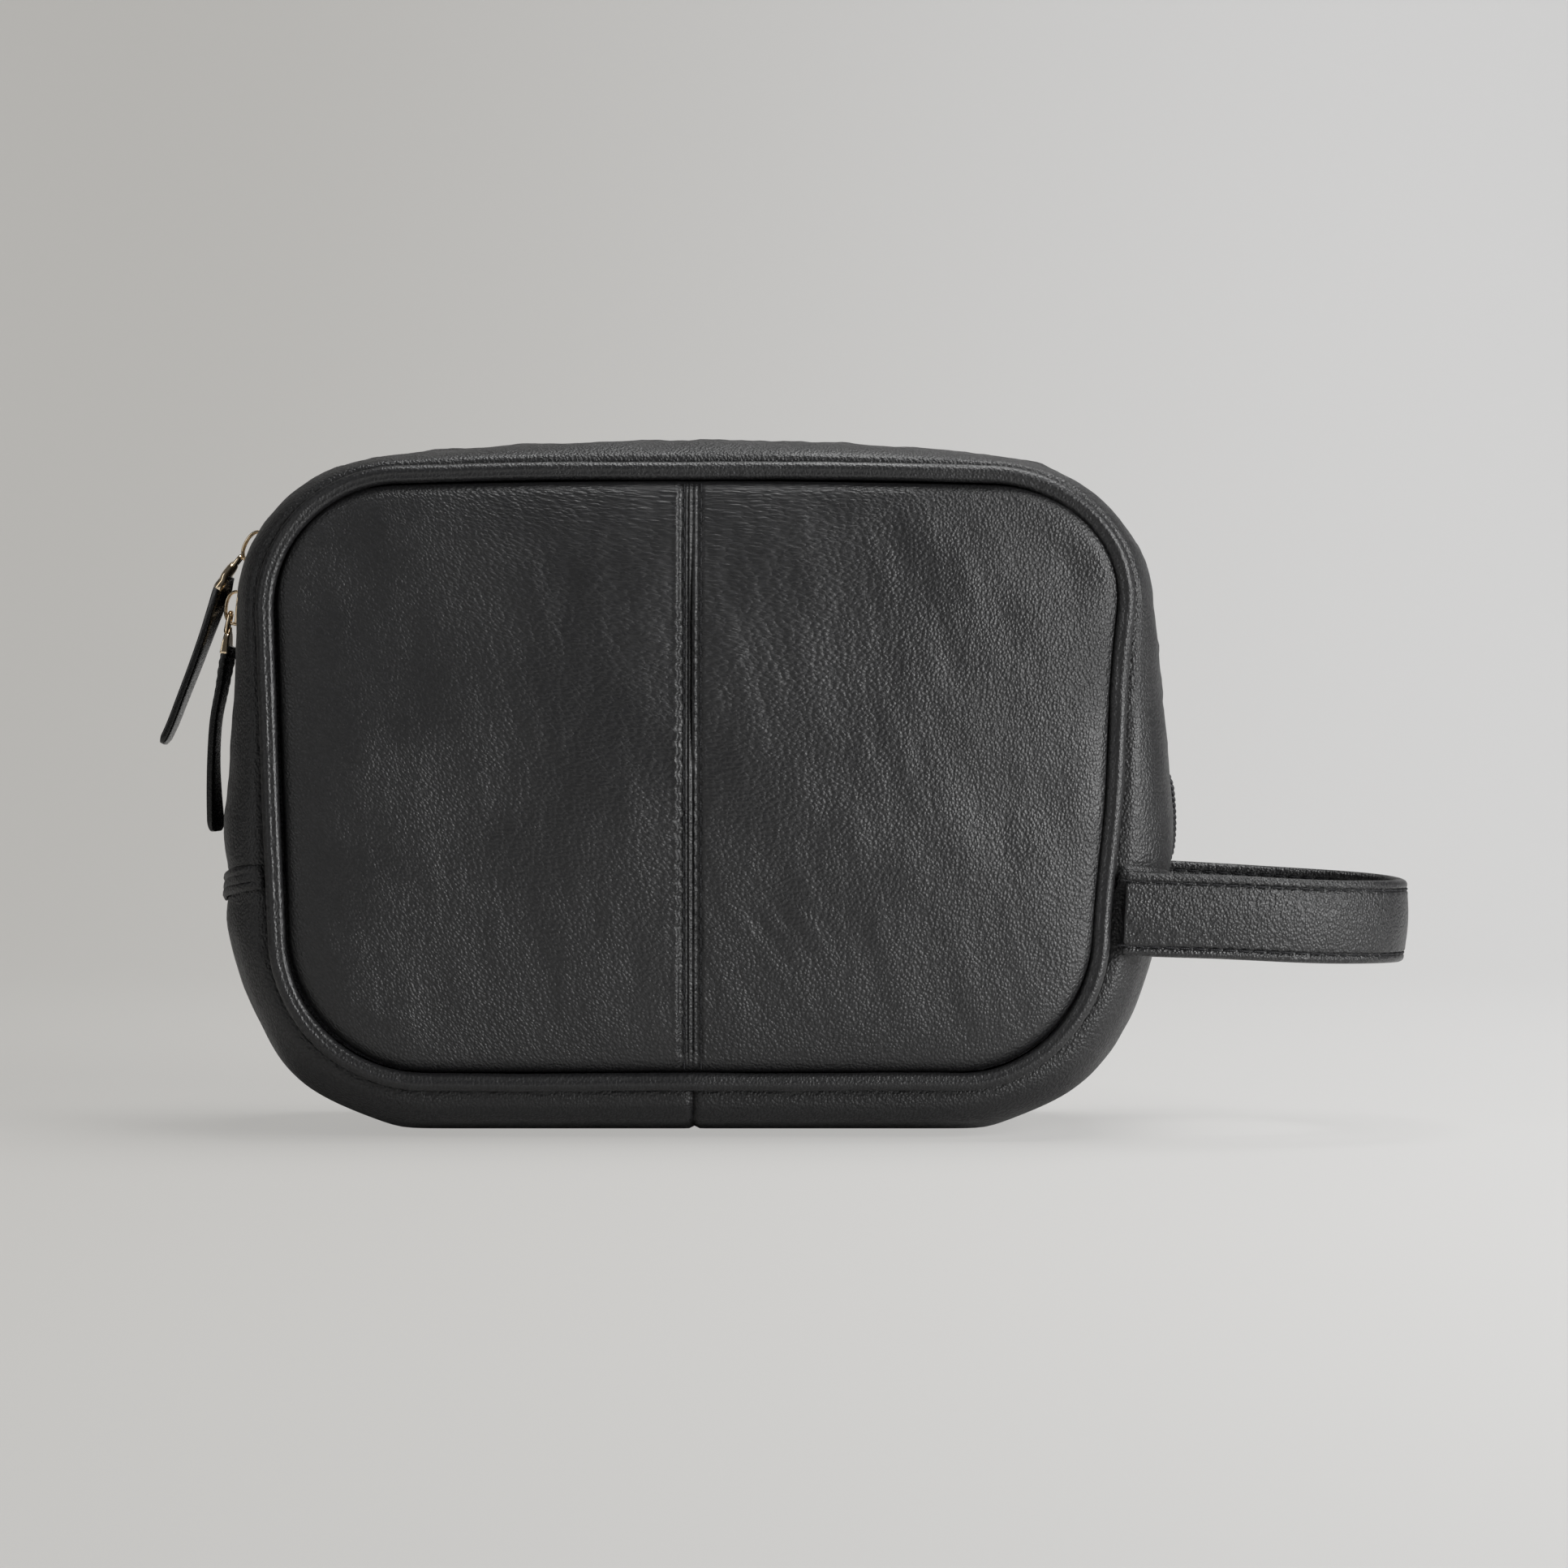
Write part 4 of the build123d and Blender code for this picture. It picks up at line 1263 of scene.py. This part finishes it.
def make_clasp(name, pivot, lean, shape):
    """The gold end that grips the strap; shape has rows of reach from the pivot, half width,
    half thickness, twist and squareness."""
    down = np.array([-math.sin(math.radians(lean)), -math.cos(math.radians(lean))])
    stations = [(*(pivot + down * reach), half_width, half_thickness, twist, corner)
                for reach, half_width, half_thickness, twist, corner in shape]
    return swept_bar(name, stations, gold, 40)


def make_pull_strap(name, knots, half_thickness, scallop=0.0):
    """A glossy leather strip that hangs from its clasp; knots hold x, z, half width and twist."""
    stations = []
    steps = 110
    for i in range(steps + 1):
        share = i / steps
        x, z, half_width, twist = along_curve(knots, share)
        end = min(1.0, (1 - share) * 16)
        narrow = math.sqrt(1 - (1 - end) ** 2 * 0.75)
        swell = 1 + scallop * math.sin(share * 130) * bell(share, 0.2, 0.17)
        thin = 1 - 0.45 * (1 - end)
        stations.append((x, z, half_width * narrow, half_thickness * swell * thin, twist, 0.42))
    piece = swept_bar(name, stations, pull_leather)
    soft = piece.modifiers.new("smooth", "SUBSURF")
    soft.levels = soft.render_levels = 1
    return bake(piece)


upper_pivot = np.array(joints["upper_pull_swing"]["pos_m"])[[0, 2]] / MM
lower_pivot = np.array(joints["lower_pull_swing"]["pos_m"])[[0, 2]] / MM
for name, centre, way in (("upper_slider", (-112.7, 148.7), (-0.467, -0.884)),
                          ("lower_slider", (-117.6, 133.2), (-0.12, -0.99))):
    seat(make_slider(name + "_gold", np.array(centre), way), name, "gold_metal", name + "_body")
upper_clasp = make_clasp("upper_clasp_gold", upper_pivot, 35.0, [
    (-2.9, 0.9, 0.3, 0, 0.9), (-2.8, 1.5, 0.7, 0, 0.9), (-2.3, 2.4, 1.05, 2, 0.9),
    (-1.2, 3.2, 1.2, 4, 0.9), (0.2, 3.7, 1.25, 4, 0.85), (1.5, 4.0, 1.28, 2, 0.8),
    (2.8, 4.2, 1.25, -6, 0.7), (4.2, 4.35, 1.32, -6, 0.65), (4.9, 4.4, 1.34, -6, 0.6),
    (5.15, 4.3, 1.25, -6, 0.6), (5.2, 3.9, 0.9, -6, 0.6)])
seat(upper_clasp, "upper_pull", "gold_metal", "upper_pull_clasp")
lower_clasp = make_clasp("lower_clasp_gold", lower_pivot + (0.6, 0.0), 7.0, [
    (-1.3, 0.9, 0.3, 4, 0.5), (-1.2, 1.3, 0.6, 4, 0.4), (-0.4, 1.6, 0.65, 4, 0.35),
    (0.4, 2.6, 0.68, 4, 0.3), (1.2, 3.6, 0.74, 4, 0.3), (3.0, 4.1, 0.86, 4, 0.25),
    (4.6, 4.3, 0.98, 4, 0.25), (4.9, 4.4, 1.1, 4, 0.25), (5.5, 4.4, 1.14, 4, 0.25),
    (5.66, 4.3, 1.05, 4, 0.3), (5.72, 3.9, 0.7, 4, 0.3)])
seat(lower_clasp, "lower_pull", "gold_metal", "lower_pull_clasp")
upper_strap = make_pull_strap("upper_pull_leather", [
    (-119.4, 141.4, 3.0, 4), (-121.0, 138.4, 3.9, 20), (-122.9, 133.2, 4.1, 16),
    (-125.3, 126.4, 4.1, 11), (-128.2, 118.6, 4.1, 8), (-131.4, 110.4, 4.1, 6),
    (-134.2, 103.3, 4.0, 5), (-136.6, 98.3, 3.8, 4)], 1.12)
seat(upper_strap, "upper_pull", "black_leather", "upper_pull_strap")
lower_strap = make_pull_strap("lower_pull_leather", [
    (-118.9, 123.4, 3.4, 6), (-119.9, 120.6, 4.1, 13), (-121.4, 112.6, 4.1, 9), (-123.0, 104.1, 4.1, 7),
    (-123.6, 94.5, 4.1, 8), (-123.5, 85.0, 4.1, 13), (-123.0, 75.8, 4.0, 20)], 1.05, 0.12)
seat(lower_strap, "lower_pull", "black_leather", "lower_pull_strap")


# ---- Carried-over solids ----------------------------------------------------------------------
nodes["base_board"].data.materials.clear()
nodes["base_board"].data.materials.append(board)


def polished(node):
    """A bevelled copy of a metal solid."""
    source = nodes[node]
    piece = source.copy()
    piece.data = source.data.copy()
    piece.name = node + "_polished"
    piece.parent = None
    bpy.context.scene.collection.objects.link(piece)
    work = bmesh.new()
    work.from_mesh(piece.data)
    bmesh.ops.remove_doubles(work, verts=work.verts, dist=0.000004)
    bmesh.ops.dissolve_limit(work, angle_limit=math.radians(2), verts=work.verts, edges=work.edges)
    work.to_mesh(piece.data)
    work.free()
    soft = piece.modifiers.new("soft_edges", "BEVEL")
    soft.width = 0.0002
    soft.segments = 2
    soft.limit_method = "ANGLE"
    soft.angle_limit = math.radians(30)
    bake(piece)
    piece.data.materials.clear()
    piece.data.materials.append(gold)
    piece.data.shade_smooth()
    return piece


for name in ("upper", "lower"):
    seat(polished(name + "_slider_link"), name + "_link", "gold_metal", name + "_slider_link")


# ---- Camera, light and floor ------------------------------------------------------------------
for item in (stitch, tooth):
    bpy.data.objects.remove(item)


def look_at(thing, target):
    direction = Vector(target) - thing.location
    thing.rotation_euler = direction.to_track_quat("-Z", "Y").to_euler()


camera = placed("camera", bpy.data.cameras.new("camera"))
camera_x = 0.0228
camera.location = (camera_x, -1.40, 0.127)
camera.data.sensor_width = 36
camera.data.lens = 125.2
camera.data.clip_end = 20
look_at(camera, (camera_x, 0, 0.088))
bpy.context.scene.camera = camera


def area_light(name, place, target, size, power, tall):
    light = placed(name, bpy.data.lights.new(name, "AREA"))
    light.data.shape = "RECTANGLE"
    light.data.size = size
    light.data.size_y = tall
    light.data.energy = power
    light.location = place
    look_at(light, target)


area_light("right_softbox", (1.08, -0.82, 0.45), (0.05, 0, 0.08), 0.8, 27.0, tall=1.0)
area_light("left_card", (-0.98, -0.72, 0.62), (-0.08, 0, 0.10), 0.6, 2.2, tall=0.8)
area_light("top_softbox", (0.25, 0.12, 1.22), (0.05, 0, 0.1), 0.75, 13.0, tall=0.7)

world = bpy.data.worlds.new("studio")
bpy.context.scene.world = world
world.use_nodes = True
world.node_tree.nodes["Background"].inputs["Color"].default_value = (0.9, 0.9, 0.92, 1)
world.node_tree.nodes["Background"].inputs["Strength"].default_value = 0.08


def make_floor():
    """A seamless sweep: flat floor that curves up behind the bag, with painted light that makes it paler
    towards the right.
    """
    bend, radius, top = 0.6, 1.0, 4.0
    run = np.linspace(-3.0, bend, 10)
    turn = np.linspace(0, math.pi / 2, 24)[1:]
    y = np.concatenate([run, bend + radius * np.sin(turn), [bend + radius]])
    z = np.concatenate([run * 0, radius * (1 - np.cos(turn)), [top]])
    x = np.linspace(-3, 3, 13)
    points = np.stack([np.repeat(x[None], len(y), 0), np.repeat(y[:, None], len(x), 1),
                       np.repeat(z[:, None], len(x), 1)], -1)
    material, tree, shader, place = new_material("studio_sweep", (0.60, 0.595, 0.59), 0.9, level=0.1)
    parts = add_node(tree, "ShaderNodeSeparateXYZ", {}, Vector=place)
    # Painted light: the sweep's colour, and its glow for camera rays, grow brighter from left to right, as
    # light from the right side would make them.
    across = remap(tree, parts.outputs["X"], -0.36, 0.42)
    painted_shading = colour_mix(tree, across, (0.505, 0.495, 0.475), (0.675, 0.672, 0.668))
    glow = add_node(tree, "ShaderNodeEmission", {}, Color=painted_shading, Strength=1.0)
    tree.links.new(painted_shading, shader.inputs["Base Color"])
    path = tree.nodes.new("ShaderNodeLightPath")
    share = maths(tree, "MULTIPLY", path.outputs["Is Camera Ray"], 0.75)
    mixed = add_node(tree, "ShaderNodeMixShader", {}, n0=share, n1=shader.outputs[0], n2=glow.outputs[0])
    tree.links.new(mixed.outputs[0], tree.nodes["Material Output"].inputs["Surface"])
    piece = new_piece("studio_sweep", points / MM, grid_faces(len(y), len(x)), material)


make_floor()

bpy.context.scene.view_settings.view_transform = "Standard"
